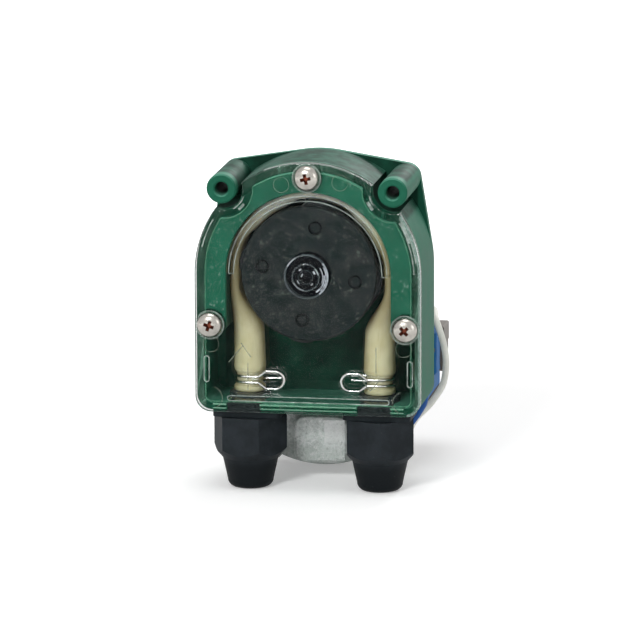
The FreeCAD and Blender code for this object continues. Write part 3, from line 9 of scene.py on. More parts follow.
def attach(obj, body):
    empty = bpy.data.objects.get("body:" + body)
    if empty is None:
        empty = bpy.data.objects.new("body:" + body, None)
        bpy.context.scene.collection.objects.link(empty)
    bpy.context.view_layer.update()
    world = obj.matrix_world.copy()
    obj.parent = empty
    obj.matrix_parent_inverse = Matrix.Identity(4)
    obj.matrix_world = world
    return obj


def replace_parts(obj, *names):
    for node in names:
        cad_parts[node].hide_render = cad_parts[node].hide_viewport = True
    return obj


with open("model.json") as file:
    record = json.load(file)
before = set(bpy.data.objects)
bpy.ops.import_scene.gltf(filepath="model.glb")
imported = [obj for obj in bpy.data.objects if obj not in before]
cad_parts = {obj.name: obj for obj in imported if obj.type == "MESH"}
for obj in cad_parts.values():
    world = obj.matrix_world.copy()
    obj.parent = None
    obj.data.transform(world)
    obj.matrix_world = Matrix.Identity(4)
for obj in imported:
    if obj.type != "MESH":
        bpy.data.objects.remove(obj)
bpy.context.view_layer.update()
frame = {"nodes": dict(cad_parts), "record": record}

# Sizes in millimetres, measured as in the pump's drawing: x to the right of the rotor axis, depth back from
# the front of the clear cover, height above the rotor axis. The panel's screws run through two tubes, which
# stand PANEL_REACH beside the axis and PANEL_RISE above it.
HEAD_DEPTH = 34.0
PANEL_REACH = 30.0
PANEL_RISE = 30.0
SCREW_TUBE_RADIUS = 6.5
CHAMBER_HALF_WIDTH = 34.8
CHAMBER_FOOT = -46.9
CHAMBER_BACK = 31.5
FLOOR = -78.6

# Clear cover
COVER_HALF_WIDTH = 39.6
COVER_FOOT = -49.0
COVER_CORNER = 5.5
COVER_RIM = 3.2
RIM_INSIDE = COVER_HALF_WIDTH - COVER_RIM
NOTCH_RADIUS = 7.4
PLATE = 2.0
FILLET_DEPTH = PLATE - 0.25
GLINT_DEPTH = 0.9
RIB_HALF = 0.875
ARC_RIB_RADIUS = 27.8
BAR_RIB_HEIGHT = -44.3
BAR_RIB_REACH = 27.6
SIDE_RIB_PLACE = 35.8
SIDE_RIB_TOP = -30.4
SIDE_RIB_FOOT = -37.8
BEARING_RADIUS = 8.0
BEARING_FRONT = -2.7

# Cover screws: x, height, and how far the cross recess is turned, in degrees
SCREW_PLACES = [(0.0, 34.4, 12.0), (-34.3, -18.1, -18.0), (34.3, -18.1, 42.0)]
SCREW_SHANK = 2.2
THREAD_START = 0.9
THREAD_PITCH = 0.7
THREAD_TURNS = 20
RECESS_RADIUS = 2.1

# Rotor, tube and leads
ROLLERS = 4
PIN_PITCH = 16.5
PIN_TURN = 8.2
TUBE_DEPTH = 16.5
TUBE_FOOT = -44.0
TUBE_RADIUS = 5.35
TUBE_BORE = 3.05
TUBE_LIP = 4.6
LEG_PLACE = 23.0
LEG_TOP = -6.0
LEG_ROUND = -23.0
SQUEEZED_RADIUS = 27.25
SQUEEZED_HALF_THICKNESS = 1.65
SQUEEZED_HALF_WIDTH = 7.0
RELAXED_HALF_THICKNESS = 0.85
LEAD_RADIUS = 1.2


def at(x, depth, height):
    """A place on the pump, in metres in the model's frame."""
    return Vector((x, depth - HEAD_DEPTH, height - PANEL_RISE)) / 1000


def colour(red, green, blue):
    """A colour as seen on a screen, 0 to 255, turned into the light values that shaders take."""
    def linear(number):
        part = number / 255
        return part / 12.92 if part <= 0.04045 else ((part + 0.055) / 1.055) ** 2.4
    return (linear(red), linear(green), linear(blue), 1.0)


def grey(level):
    return (level, level, level, 1.0)


def scaled(shade, share):
    """A colour made darker by a share below 1, or paler by one above it."""
    return tuple(min(1.0, share * part) for part in shade[:3]) + (1.0,)


# Shader maths

class Value:
    """What a shader node gives, worked with like a number."""

    def __init__(self, graph, socket):
        self.graph = graph
        self.socket = socket

    def math(self, operation, *numbers):
        return self.graph.node("Math", {"operation": operation}, dict(enumerate(numbers)))

    def __add__(self, other):
        return self.math("ADD", self, other)

    def __radd__(self, other):
        return self.math("ADD", other, self)

    def __sub__(self, other):
        return self.math("SUBTRACT", self, other)

    def __rsub__(self, other):
        return self.math("SUBTRACT", other, self)

    def __mul__(self, other):
        return self.math("MULTIPLY", self, other)

    def __rmul__(self, other):
        return self.math("MULTIPLY", other, self)

    def most(self, other):
        return self.math("MAXIMUM", self, other)

    def least(self, other):
        return self.math("MINIMUM", self, other)

    def size(self):
        return self.math("ABSOLUTE", self)

    def wave(self, pitch):
        """Goes up to 1 and down to -1 once in each pitch."""
        return self.math("SINE", self * (math.tau / pitch))

    def rise(self, low, high):
        """0 below low, 1 above high and smooth between; with low above high it falls instead."""
        if low > high:
            return 1 - self.rise(high, low)
        return self.graph.node("MapRange", {"interpolation_type": "SMOOTHSTEP"},
                               {"Value": self, "From Min": low, "From Max": high})


class Graph:
    """The nodes of a material or of the world."""

    def __init__(self, tree):
        self.tree = tree

    def node(self, kind, settings=None, inputs=None, output=0):
        """Adds one node, with its settings and what its sockets take, and gives one of its outputs."""
        made = self.tree.nodes.new("ShaderNode" + kind)
        for name, setting in (settings or {}).items():
            setattr(made, name, setting)
        for socket, given in (inputs or {}).items():
            self.feed(made.inputs[socket], given)
        return Value(self, made.outputs[output])

    def feed(self, socket, given):
        """Links a socket to a value, or writes a plain number or colour into it."""
        if isinstance(given, Value):
            self.tree.links.new(given.socket, socket)
        else:
            socket.default_value = given

    def seen(self):
        """1 for what the camera, a mirror or clear plastic sees, 0 for the light that falls on things."""
        camera, mirror, clear = (self.node("LightPath", output=f"Is {kind} Ray")
                                 for kind in ("Camera", "Glossy", "Transmission"))
        return camera.most(mirror).most(clear)


class Finish(Graph):
    """A material in the making: its shader, and the nodes that vary it over the surface."""

    def __init__(self, name, **constants):
        self.material = bpy.data.materials.new(name)
        self.material.use_nodes = True
        super().__init__(self.material.node_tree)
        self.shader = next(node for node in self.tree.nodes if node.type == "BSDF_PRINCIPLED")
        self.shade(**constants)

    def shade(self, **inputs):
        """Feeds the shader's sockets, named here in small letters with underscores."""
        for name, given in inputs.items():
            self.feed(self.shader.inputs[name.replace("_", " ").title().replace("Ior", "IOR")], given)

    def spot(self):
        """The surface point in millimetres on the drawing, as a vector."""
        place = self.node("TexCoord", output="Object")
        shifted = self.node("VectorMath", {"operation": "SUBTRACT"}, {0: place, 1: tuple(at(0, 0, 0))})
        return self.node("VectorMath", {"operation": "SCALE"}, {0: shifted, "Scale": 1000.0})

    def parts(self, vector):
        """A vector's x, depth and height."""
        split = self.node("SeparateXYZ", inputs={0: vector}).socket.node
        return [Value(self, part) for part in split.outputs]

    def facing(self):
        """How far the surface faces right, back and up, each from -1 to 1, in the object's own frame."""
        return self.parts(self.node("TexCoord", output="Normal"))

    def length(self, vector):
        return self.node("VectorMath", {"operation": "LENGTH"}, {0: vector}, output="Value")

    def from_line(self, beside, above):
        """The distance from a line that runs straight back, for a point so far beside and above it."""
        return self.length(self.node("CombineXYZ", inputs={0: beside, 2: above}))

    def noise(self, spot, size, detail=3.0, roughness=0.5, stretch=None):
        """Clouds about 0.5, with features about as large as size, in millimetres."""
        if stretch:
            spot = self.node("VectorMath", {"operation": "MULTIPLY"}, {0: spot, 1: stretch})
        return self.node("TexNoise", inputs={"Vector": spot, "Scale": 1.0 / size, "Detail": detail,
                                             "Roughness": roughness})

    def warped(self, spot, reach):
        """The point pushed about by clouds as large as reach, so that a pattern has nothing regular."""
        clouds = self.node("TexNoise", inputs={"Vector": spot, "Scale": 1.0 / reach}, output=1)
        return self.node("VectorMath", {"operation": "MULTIPLY_ADD"}, {0: clouds, 1: (reach,) * 3, 2: spot})

    def cells(self, spot, size):
        """The distance from the nearest of many scattered points, 0 on a point."""
        return self.node("TexVoronoi", inputs={"Vector": spot, "Scale": 1.0 / size})

    def mix(self, share, first, second):
        """The first colour where share is 0, the second where it is 1."""
        return self.node("Mix", {"data_type": "RGBA"}, {0: share, 6: first, 7: second}, output=2)

    def bump(self, height, depth):
        """Raises the surface by height, where 1 stands for depth in millimetres."""
        normal = self.node("Bump", inputs={"Height": height, "Distance": depth / 1000, "Strength": 1.0})
        self.shade(normal=normal)

    def let_light_through(self, tint):
        """Shadows fall through this material as through tinted glass."""
        open_way = self.node("BsdfTransparent", inputs={"Color": tint})
        shadow = self.node("LightPath", output="Is Shadow Ray")
        both = self.node("MixShader", inputs={0: shadow, 1: Value(self, self.shader.outputs[0]), 2: open_way})
        surface = next(node for node in self.tree.nodes if node.type == "OUTPUT_MATERIAL").inputs["Surface"]
        self.feed(surface, both)


# Finishes

def moulded(name, base, roughness, grain=0.35, specular=0.3):
    """Moulded plastic, a little uneven in colour and finely grained."""
    finish = Finish(name, roughness=roughness, specular_ior_level=specular)
    spot = finish.spot()
    clouds = finish.noise(spot, 9.0, 4.0, 0.6)
    fine = finish.noise(spot, grain, 2.0)
    tone = finish.mix(clouds.rise(0.3, 0.7), scaled(base, 0.84), scaled(base, 1.14))
    tone = finish.mix((fine - 0.5) * 0.8 + 0.5, tone, base)
    finish.shade(base_color=tone, roughness=roughness + (clouds - 0.5) * 0.18)
    finish.bump(fine + clouds * 0.4, 0.02)
    return finish.material


def housing_green():
    """The head's moulding: green, with a greyer painted sheen on top and painted shade deep in the chamber.
    """
    finish = Finish("housing_moulding", specular_ior_level=0.1)
    spot = finish.spot()
    x, depth, height = finish.parts(spot)
    _, facing_back, facing_up = finish.facing()
    clouds = finish.noise(spot, 11.0, 4.0, 0.6)
    fine = finish.noise(spot, 0.5, 2.0)
    base = colour(28, 90, 69)
    tone = finish.mix(clouds.rise(0.3, 0.7), scaled(base, 0.86), scaled(base, 1.12))

    # Painted sheen: faces that look up are mixed towards a greyer green
    painted_top_sheen = facing_up.rise(0.1, 0.9) * (0.7 + finish.noise(spot, 5.0, 4.0).rise(0.3, 0.7) * 0.3)
    tone = finish.mix(painted_top_sheen * 0.65, tone, colour(98, 160, 138))

    # Painted haze: pale light from the cover's rim, painted on the front edge that lies behind it, but not on
    # the screw tubes
    arch = finish.from_line(x, height.most(0.0))
    from_tube = finish.from_line(x.size() - PANEL_REACH, height - PANEL_RISE)
    painted_rim_haze = arch.rise(RIM_INSIDE - 0.2, RIM_INSIDE + 0.4) * depth.rise(5.5, 4.0)
    painted_rim_haze = painted_rim_haze * from_tube.rise(SCREW_TUBE_RADIUS - 0.2, SCREW_TUBE_RADIUS + 0.2)
    tone = finish.mix(painted_rim_haze * (0.16 + clouds.rise(0.35, 0.65) * 0.3), tone, colour(128, 150, 136))

    # Dust on the faces that lie behind the clear plate
    specks = finish.cells(finish.warped(spot, 2.0), 1.5).rise(0.34, 0.16)
    dust = specks * finish.noise(spot, 6.0).rise(0.42, 0.58)
    dust = dust * facing_back.rise(-0.7, -0.95) * arch.rise(RIM_INSIDE + 0.4, RIM_INSIDE - 0.2)
    tone = finish.mix(dust * 0.3, tone, colour(150, 176, 162))

    # Painted shade deep in the chamber: dark green, uneven in strength
    inside = depth.rise(3.2, 6.0) * depth.rise(CHAMBER_BACK, CHAMBER_BACK - 0.6)
    inside = inside * x.size().rise(CHAMBER_HALF_WIDTH, CHAMBER_HALF_WIDTH - 1.0)
    inside = inside * height.rise(CHAMBER_FOOT, CHAMBER_FOOT + 0.9)
    painted_shade_clouds = finish.noise(spot, 7.0, 5.0, 0.6).rise(0.35, 0.65)
    tone = finish.mix(inside * (0.6 + painted_shade_clouds * 0.3), tone, colour(5, 30, 21))

    finish.shade(base_color=tone, roughness=0.58 + (clouds - 0.5) * 0.2 + (fine - 0.5) * 0.1)
    finish.bump(fine + clouds * 0.4, 0.02)
    return finish.material


def rotor_black(name):
    """The rotor's dusty black: painted shade in a ring round the pins' ends, and glossy painted shade under
    the cover's bearing.
    """
    finish = Finish(name, specular_ior_level=0.06)
    spot = finish.spot()
    x, _, height = finish.parts(spot)
    clouds = finish.noise(spot, 8.0, 5.0, 0.6)
    tone = finish.mix(clouds.rise(0.32, 0.68), colour(22, 30, 31), colour(40, 43, 43))
    dusty = finish.noise(spot, 2.2, 4.0, 0.6).rise(0.52, 0.72)
    tone = finish.mix(dusty * 0.3, tone, colour(66, 76, 70))
    specks = finish.cells(finish.warped(spot, 2.0), 1.5).rise(0.36, 0.16)
    grit = specks * finish.noise(spot, 4.0).rise(0.42, 0.58)
    tone = finish.mix(grit * 0.3, tone, colour(120, 128, 120))

    # The square of the distance from the nearest pin: painted shade lies in a ring about 2 mm from its middle
    from_pin = 99.0
    for number in range(ROLLERS):
        angle = math.tau * number / ROLLERS + math.radians(PIN_TURN)
        over, up = x - PIN_PITCH * math.sin(angle), height - PIN_PITCH * math.cos(angle)
        from_pin = (over * over + up * up).least(from_pin)
    painted_pin_ring_shade = from_pin.rise(1.7, 2.9) * from_pin.rise(7.0, 5.2)

    # Near black painted shade under the cover's bearing, where the rotor lies deeper; it is glossier there
    # too
    bearing = finish.from_line(x, height).rise(BEARING_RADIUS + 0.4, BEARING_RADIUS - 0.4)
    tone = finish.mix((painted_pin_ring_shade * 0.85).most(bearing), tone, colour(6, 8, 12))
    finish.shade(base_color=tone, roughness=0.56 - bearing * 0.4 + (clouds - 0.5) * 0.2)
    finish.bump(clouds, 0.02)
    return finish.material


def nut_black():
    """The nuts and fittings: matt black, a little greyer on the flats."""
    finish = Finish("nut_moulding", specular_ior_level=0.12)
    spot = finish.spot()
    height = finish.parts(spot)[2]
    clouds = finish.noise(spot, 7.0, 4.0, 0.6)
    fine = finish.noise(spot, 0.3, 2.0)
    flats = height.rise(-71.0, -66.0)
    fitting = height.rise(-51.0, -49.5)
    greyer_flats = flats * (0.45 + clouds.rise(0.35, 0.65) * 0.55)
    tone = finish.mix(greyer_flats, colour(13, 18, 21), colour(35, 40, 44))
    tone = finish.mix(fitting * 0.6, tone, colour(66, 74, 74))
    grit = finish.cells(finish.warped(spot, 2.0), 2.2).rise(0.1, 0.04) * clouds.rise(0.5, 0.65)
    tone = finish.mix(grit * 0.2, tone, colour(120, 124, 118))
    finish.shade(base_color=tone, roughness=0.6 + (clouds - 0.5) * 0.2)
    finish.bump(fine + clouds * 0.5, 0.02)
    return finish.material


def steel(name, base, roughness):
    """Bare or plated steel with fine scratches round it."""
    finish = Finish(name, metallic=1.0)
    spot = finish.spot()
    clouds = finish.noise(spot, 2.5, 4.0)
    scratches = finish.noise(spot, 0.25, 2.0, stretch=(1.0, 6.0, 1.0))
    tone = finish.mix(clouds.rise(0.35, 0.75), base, scaled(base, 0.75))
    finish.shade(base_color=tone, roughness=roughness + (clouds - 0.5) * 0.15 + (scratches - 0.5) * 0.1)
    finish.bump(scratches, 0.008)
    return finish.material


def laminated_steel():
    """Motor core: half-millimetre sheets stacked from front to back, their edges rusty in places."""
    finish = Finish("core_steel", metallic=0.85)
    spot = finish.spot()
    sheets = finish.parts(spot)[1].wave(0.5)
    each = finish.noise(spot, 1.4, 1.0, stretch=(0.02, 3.0, 0.02))
    rust = finish.noise(spot, 3.0, 5.0, 0.65).rise(0.55, 0.72)
    tone = finish.mix(each.rise(0.35, 0.65), colour(70, 72, 76), colour(112, 114, 116))
    tone = finish.mix(sheets.rise(0.2, -0.9) * 0.6, tone, colour(26, 26, 28))
    tone = finish.mix(rust * 0.45, tone, colour(108, 76, 54))
    finish.shade(base_color=tone, roughness=0.4 + rust * 0.25)
    finish.bump(sheets, 0.05)
    return finish.material


def wound_wire():
    """Enamelled copper in even turns about the coil's core."""
    finish = Finish("copper", metallic=0.9, coat_weight=0.6, coat_roughness=0.15)
    spot = finish.spot()
    turns = finish.parts(spot)[2].wave(0.28)
    uneven = finish.noise(spot, 1.2, 3.0)
    tone = finish.mix(uneven.rise(0.3, 0.7), colour(150, 74, 42), colour(196, 112, 66))
    tone = finish.mix(turns.rise(0.0, -0.9) * 0.7, tone, colour(60, 24, 14))
    finish.shade(base_color=tone, roughness=0.3 + uneven * 0.1)
    finish.bump(turns, 0.05)
    return finish.material


def cast_metal(name, base, roughness):
    """Die-cast alloy: bright crumpled skin with grey flow marks and pits."""
    finish = Finish(name, metallic=0.35)
    spot = finish.spot()
    x, _, height = finish.parts(spot)
    facing_back = finish.facing()[1]
    blotches = finish.noise(spot, 6.0, 4.0, 0.6)
    crumple = finish.noise(finish.warped(spot, 1.6), 1.05, 3.0, 0.66)
    pits = finish.cells(finish.warped(spot, 1.5), 0.9).rise(0.22, 0.06)
    pale = scaled(base, 1.7)
    tone = finish.mix(blotches.rise(0.3, 0.62), scaled(base, 0.7), base)
    tone = finish.mix(crumple.rise(0.5, 0.64) * 0.85, tone, pale)
    tone = finish.mix(crumple.rise(0.45, 0.34) * 0.6, tone, scaled(base, 0.28))
    tone = finish.mix(pits * 0.25, tone, scaled(base, 0.35))

    # The pad below the head: painted light on its flat front, most on the right, and painted shade at its
    # foot
    painted_pad_light = facing_back.rise(-0.6, -0.9) * height.rise(-54.5, -56.0) * height.rise(-70.0, -63.0)
    tone = finish.mix(painted_pad_light * (0.3 + x.rise(0.8, 1.8) * 0.4), tone, pale)
    tone = finish.mix(height.rise(-62.0, -68.5) * 0.6, tone, scaled(base, 0.4))

    finish.shade(base_color=tone, roughness=roughness + (crumple - 0.5) * 0.5)
    finish.bump(crumple + blotches * 0.5 - pits * 0.3, 0.36)
    return finish.material


def clear_plastic():
    """Polished clear plastic: little mirror on its flat faces, more on its edges and rounds."""
    finish = Finish("clear_cover", base_color=colour(238, 247, 243), roughness=0.02, transmission_weight=1.0,
                    ior=1.49)
    spot = finish.spot()
    smears = finish.noise(spot, 12.0, 3.0)
    flat = finish.facing()[1].size().rise(0.93, 0.99)
    behind_plate = finish.parts(spot)[1].rise(PLATE + 0.05, PLATE + 0.6)
    finish.shade(roughness=0.02 + smears.rise(0.45, 0.75) * 0.05,
                 alpha=0.88 - flat.most(behind_plate * 0.7) * 0.81)
    finish.bump(smears, 0.015)
    finish.let_light_through(colour(232, 240, 238))
    return finish.material


def clear_line(name, base, cover):
    """A line or ring in the clear plastic, painted paler than the plate: a painted highlight where its sides
    would catch the light.
    """
    finish = Finish(name, base_color=base, roughness=0.22, specular_ior_level=0.25)
    uneven = finish.noise(finish.spot(), 3.0, 4.0, 0.65).rise(0.34, 0.66)
    finish.shade(alpha=0.4 * cover + uneven * (0.6 * cover), roughness=0.16 + uneven * 0.2)
    finish.let_light_through(colour(240, 244, 242))
    return finish.material


def tube_rubber():
    """Soft cream tube, a little see-through, faintly dragged lengthwise, with painted shade and painted light
    on it.
    """
    finish = Finish("tube_rubber", subsurface_weight=0.35, subsurface_radius=(1.0, 0.8, 0.5),
                    subsurface_scale=0.006, specular_ior_level=0.3)
    spot = finish.spot()
    _, depth, height = finish.parts(spot)
    clouds = finish.noise(spot, 6.0, 3.0)
    drag = finish.noise(spot, 0.9, 3.0, stretch=(1.0, 1.0, 0.15))
    tone = finish.mix(clouds.rise(0.3, 0.7), colour(202, 190, 150), colour(216, 206, 170))
    tone = finish.mix(drag.rise(0.5, 0.8) * 0.45, tone, colour(182, 168, 122))

    # Painted shade low on the legs, painted light over the arch, painted shade at the sides and towards the
    # back
    painted_leg_shade = height.rise(-26.0, -8.0) * height.rise(16.0, 5.0)
    tone = finish.mix(painted_leg_shade * 0.7, tone, colour(136, 118, 80))
    # Painted light: paler cream over the arch
    tone = finish.mix(height.rise(10.0, 24.0), tone, colour(244, 240, 222))
    # Painted shade on the sides of the tube that turn away from the front
    sides = finish.facing()[1].size().rise(0.85, 0.3) * height.rise(26.0, 20.0)
    tone = finish.mix(sides * 0.6, tone, colour(150, 132, 86))
    # Painted shade deeper in the channel, towards the back
    back = depth.rise(13.0, 20.0) * height.rise(20.0, 10.0)
    tone = finish.mix(back * 0.5, tone, colour(120, 108, 74))

    finish.shade(base_color=tone, roughness=0.4 + clouds * 0.15)
    finish.bump(drag, 0.04)
    return finish.material


def dress():
    """Gives every solid of the model its finish, by the record's own slots."""
    black = nut_black()
    plain = steel("plain_steel", colour(168, 170, 172), 0.34)
    zinc = steel("small_screw_steel", colour(190, 190, 182), 0.3)
    slots = {
        "housing_moulding": housing_green(),
        "clear_cover": clear_plastic(),
        "cover_screw_steel": steel("cover_screw_steel", colour(176, 172, 165), 0.24),
        "rotor_moulding": rotor_black("rotor_moulding"),
        "roller_pin_steel": rotor_black("dusty_pin_steel"),
        "roller_moulding": moulded("roller_moulding", colour(40, 43, 46), 0.35, grain=0.4),
        "shaft_steel": plain,
        "arbor_steel": plain,
        "clip_steel": steel("blackened_steel", colour(52, 54, 56), 0.4),
        "tube_rubber": tube_rubber(),
        "fitting_moulding": black,
        "nut_moulding": black,
        "clamp_wire": steel("clamp_wire", colour(214, 214, 212), 0.2),
        "casting_alloy": cast_metal("casting_alloy", colour(218, 227, 222), 0.45),
        "lid_alloy": cast_metal("lid_alloy", colour(180, 187, 184), 0.42),
        "small_screw_steel": zinc,
        "bearing_bronze": steel("bearing_bronze", colour(170, 130, 80), 0.4),
        "gear_steel": plain,
        "gear_moulding": moulded("gear_moulding", colour(226, 222, 206), 0.4),
        "pinion_brass": steel("pinion_brass", colour(200, 170, 100), 0.3),
        "motor_rotor_metal": plain,
        "core_steel": laminated_steel(),
        "copper": wound_wire(),
        "bobbin_moulding": moulded("bobbin_moulding", colour(104, 98, 90), 0.5),
        "coil_tape_film": moulded("coil_tape_film", colour(20, 94, 154), 0.55, specular=0.12),
        "bracket_steel": zinc,
        "white_insulation": moulded("white_insulation", colour(240, 240, 232), 0.5, specular=0.15),
        "blue_insulation": moulded("blue_insulation", colour(24, 84, 158), 0.4),
        "plug_moulding": moulded("plug_moulding", colour(214, 214, 204), 0.45),
    }
    for entry in frame["record"]["subparts"]:
        node = frame["nodes"][entry["node"]]
        for place in node.material_slots:
            place.material = slots[entry["material_slot"]]
    return slots


# Shapes

def angles_round(sides, shift=0.0):
    """Angles in radians, evenly spaced round a circle."""
    return [math.tau * (side + shift) / sides for side in range(sides)]


class Shell:
    """The corners and faces of a piece in the making."""

    def __init__(self):
        self.spots = []
        self.faces = []

    def loft(self, rings, closed=False):
        """A skin over rings that have equally many corners; open ends are closed with a flat face."""
        first = len(self.spots)
        count = len(rings[0])
        for ring in rings:
            self.spots.extend(ring)
        for number in range(len(rings) if closed else len(rings) - 1):
            here = first + number * count
            there = first + (number + 1) % len(rings) * count
            for corner in range(count):
                after = (corner + 1) % count
                self.faces.append((here + corner, here + after, there + after, there + corner))
        if not closed:
            last = first + (len(rings) - 1) * count
            self.faces.append(tuple(reversed(range(first, first + count))))
            self.faces.append(tuple(range(last, last + count)))

    def bead(self, line, depth, radius, closed=False, sides=10):
        """A thin round bar along a line of (x, height) points, all at one depth."""
        rings = []
        count = len(line)
        for number, (x, height) in enumerate(line):
            before = line[number - 1] if number or closed else line[number]
            after = line[(number + 1) % count] if number < count - 1 or closed else line[number]
            along = Vector((after[0] - before[0], after[1] - before[1])).normalized()
            ring = []
            for angle in angles_round(sides):
                out = radius * math.cos(angle)
                ring.append(at(x - along.y * out, depth + radius * math.sin(angle), height + along.x * out))
            rings.append(ring)
        self.loft(rings, closed)

    def hoop(self, x, height, hoop_radius, depth, radius, steps, sides=10):
        """A thin round bar bent into a whole circle."""
        self.bead(arc(x, height, hoop_radius, 0, 360, steps)[:-1], depth, radius, closed=True, sides=sides)

    def wire(self, line, radius, sides=16):
        """A round bar along a line of (x, depth, height) points, without twist."""
        across = (line[1] - line[0]).orthogonal()
        rings = []
        for number, spot in enumerate(line):
            along = (line[min(number + 1, len(line) - 1)] - line[max(number - 1, 0)]).normalized()
            across = (across - along * across.dot(along)).normalized()
            other = along.cross(across)
            rings.append([at(*(spot + radius * (math.cos(angle) * across + math.sin(angle) * other)))
                          for angle in angles_round(sides)])
        self.loft(rings)

    def turned(self, profile, x, height, sides):
        """A solid turned about a line that runs straight back, from (radius, depth) points on it."""
        self.loft([[at(x + radius * math.cos(angle), depth, height + radius * math.sin(angle))
                    for angle in angles_round(sides)] for radius, depth in profile])

    def mesh(self, name):
        mesh = bpy.data.meshes.new(name)
        mesh.from_pydata(self.spots, [], self.faces)
        soften(mesh)
        return mesh

    def piece(self, name, material):
        """The finished piece, which rides on the pump's body."""
        thing = linked(bpy.data.objects.new(name, self.mesh(name)))
        thing.data.materials.append(material)
        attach(thing, "pump_body")
        return thing


def soften(mesh):
    """Faces all turned outwards, and shaded smooth except over edges sharper than 35 degrees."""
    work = bmesh.new()
    work.from_mesh(mesh)
    bmesh.ops.recalc_face_normals(work, faces=work.faces)
    work.to_mesh(mesh)
    work.free()
    for face in mesh.polygons:
        face.use_smooth = True
    mesh.set_sharp_from_angle(angle=math.radians(35))


def linked(thing):
    bpy.context.scene.collection.objects.link(thing)
    return thing


def arc(middle_x, middle_height, radius, start, stop, steps):
    """Points on an arc, with angles in degrees counted from +X upwards."""
    points = []
    for step in range(steps + 1):
        angle = math.radians(start + (stop - start) * step / steps)
        points.append((middle_x + radius * math.cos(angle), middle_height + radius * math.sin(angle)))
    return points


def joined(*lines):
    """One line from several that meet end to end, with no point twice."""
    points = []
    for line in lines:
        for point in line:
            if not points or math.dist(point, points[-1]) > 0.01:
                points.append(point)
    if math.dist(points[0], points[-1]) < 0.01:
        points.pop()
    return points


def cover_outline(inset):
    """The cover's outline, moved inwards: a round arch on straight sides, notched for the screw tubes."""
    radius = COVER_HALF_WIDTH - inset
    notch = NOTCH_RADIUS + inset
    corner = COVER_CORNER - inset
    foot = COVER_FOOT + inset
    far = math.hypot(PANEL_REACH, PANEL_RISE)
    spread = math.degrees(math.acos((radius ** 2 + far ** 2 - notch ** 2) / (2 * radius * far)))
    low = math.radians(45 - spread)
    dip = math.degrees(math.atan2(radius * math.sin(low) - PANEL_RISE, radius * math.cos(low) - PANEL_REACH))
    return joined(
        arc(0, 0, radius, 0, 45 - spread, 12),
        arc(PANEL_REACH, PANEL_RISE, notch, dip, -270 - dip, 16),
        arc(0, 0, radius, 45 + spread, 135 - spread, 30),
        arc(-PANEL_REACH, PANEL_RISE, notch, 90 + dip, -180 - dip, 16),
        arc(0, 0, radius, 135 + spread, 180, 12),
        arc(corner - radius, foot + corner, corner, 180, 270, 8),
        arc(radius - corner, foot + corner, corner, 270, 360, 8))


def slot_outline(one, other, half):
    """Round a straight rib with round ends, whose middle line runs between two points."""
    along = Vector(other) - Vector(one)
    turn = math.degrees(math.atan2(along.y, along.x))
    return joined(arc(*one, half, turn + 90, turn + 270, 10), arc(*other, half, turn - 90, turn + 90, 10))


# Lines of painted highlight, and marks, on the clear cover

def step_line(leafy):
    """A painted highlight where the plate steps up into the rim, as a thin bright line."""
    line = Shell()
    line.bead(cover_outline(COVER_RIM + 0.25), FILLET_DEPTH, 0.16, closed=True)
    line.piece("cover_step_line", leafy)


def rib_lines(pale):
    """Painted highlights round the arched rib over the rotor, the long bar near the foot and the short rib on
    each side.
    """
    arch = joined(arc(0, 0, ARC_RIB_RADIUS, 0, 180, 60),
                  arc(0, 0, ARC_RIB_RADIUS - 2 * RIB_HALF, 180, 0, 60))
    bar = slot_outline((-BAR_RIB_REACH, BAR_RIB_HEIGHT), (BAR_RIB_REACH, BAR_RIB_HEIGHT), RIB_HALF)
    lines = Shell()
    for outline in (arch, bar):
        lines.bead(outline, FILLET_DEPTH, 0.17, closed=True)
    for side in (-SIDE_RIB_PLACE, SIDE_RIB_PLACE):
        upright = slot_outline((side, SIDE_RIB_FOOT), (side, SIDE_RIB_TOP), RIB_HALF)
        lines.bead(upright, FILLET_DEPTH, 0.2, closed=True)
    lines.piece("cover_rib_lines", pale)


def foot_lines(leafy):
    """Painted highlights along the cover's lower edge beside and between the fittings: a thick line over a
    thin one.
    """
    lines = Shell()
    for start, stop in ((-33.6, -28.9), (-17.1, 17.1), (28.9, 33.6)):
        for height, radius in ((-46.5, 0.4), (-47.9, 0.25)):
            lines.bead([(start, height), (stop, height)], PLATE - radius, radius, sides=8)
    lines.piece("cover_foot_lines", leafy)


def rim_glints(pale):
    """Where the rim shines, along the arch and in the notches: (arc radius, start, stop, bar radius)."""
    arch = ((37.8, 19, 31, 0.5), (38.5, 8, 33, 0.3), (37.4, 2, 22, 0.2), (38.1, 150, 166, 0.2))
    right_notch = ((9.4, 202, 222, 0.6), (8.3, 190, 216, 0.25))
    left_notch = ((9.4, -50, -34, 0.5), (8.2, -60, -20, 0.22))
    glints = Shell()
    for x, height, steps, marks in ((0, 0, 12, arch), (PANEL_REACH, PANEL_RISE, 6, right_notch),
                                    (-PANEL_REACH, PANEL_RISE, 6, left_notch)):
        for arc_radius, start, stop, radius in marks:
            glints.bead(arc(x, height, arc_radius, start, stop, steps), GLINT_DEPTH, radius, sides=8)
    glints.piece("rim_glints", pale)


def edge_line(misty):
    """A painted highlight along the cover's rounded right edge, from the lower corner up to the notch."""
    inset = 0.5
    half = COVER_HALF_WIDTH - inset
    corner = COVER_CORNER - inset
    line = joined(arc(half - corner, COVER_FOOT + inset + corner, corner, -80, 0, 8),
                  [(half, -20.0), (half, 0.0)], arc(0, 0, half, 2, 34, 16))
    edge = Shell()
    edge.bead(line, 0.6, 0.36, sides=8)
    edge.piece("cover_edge_line", misty)


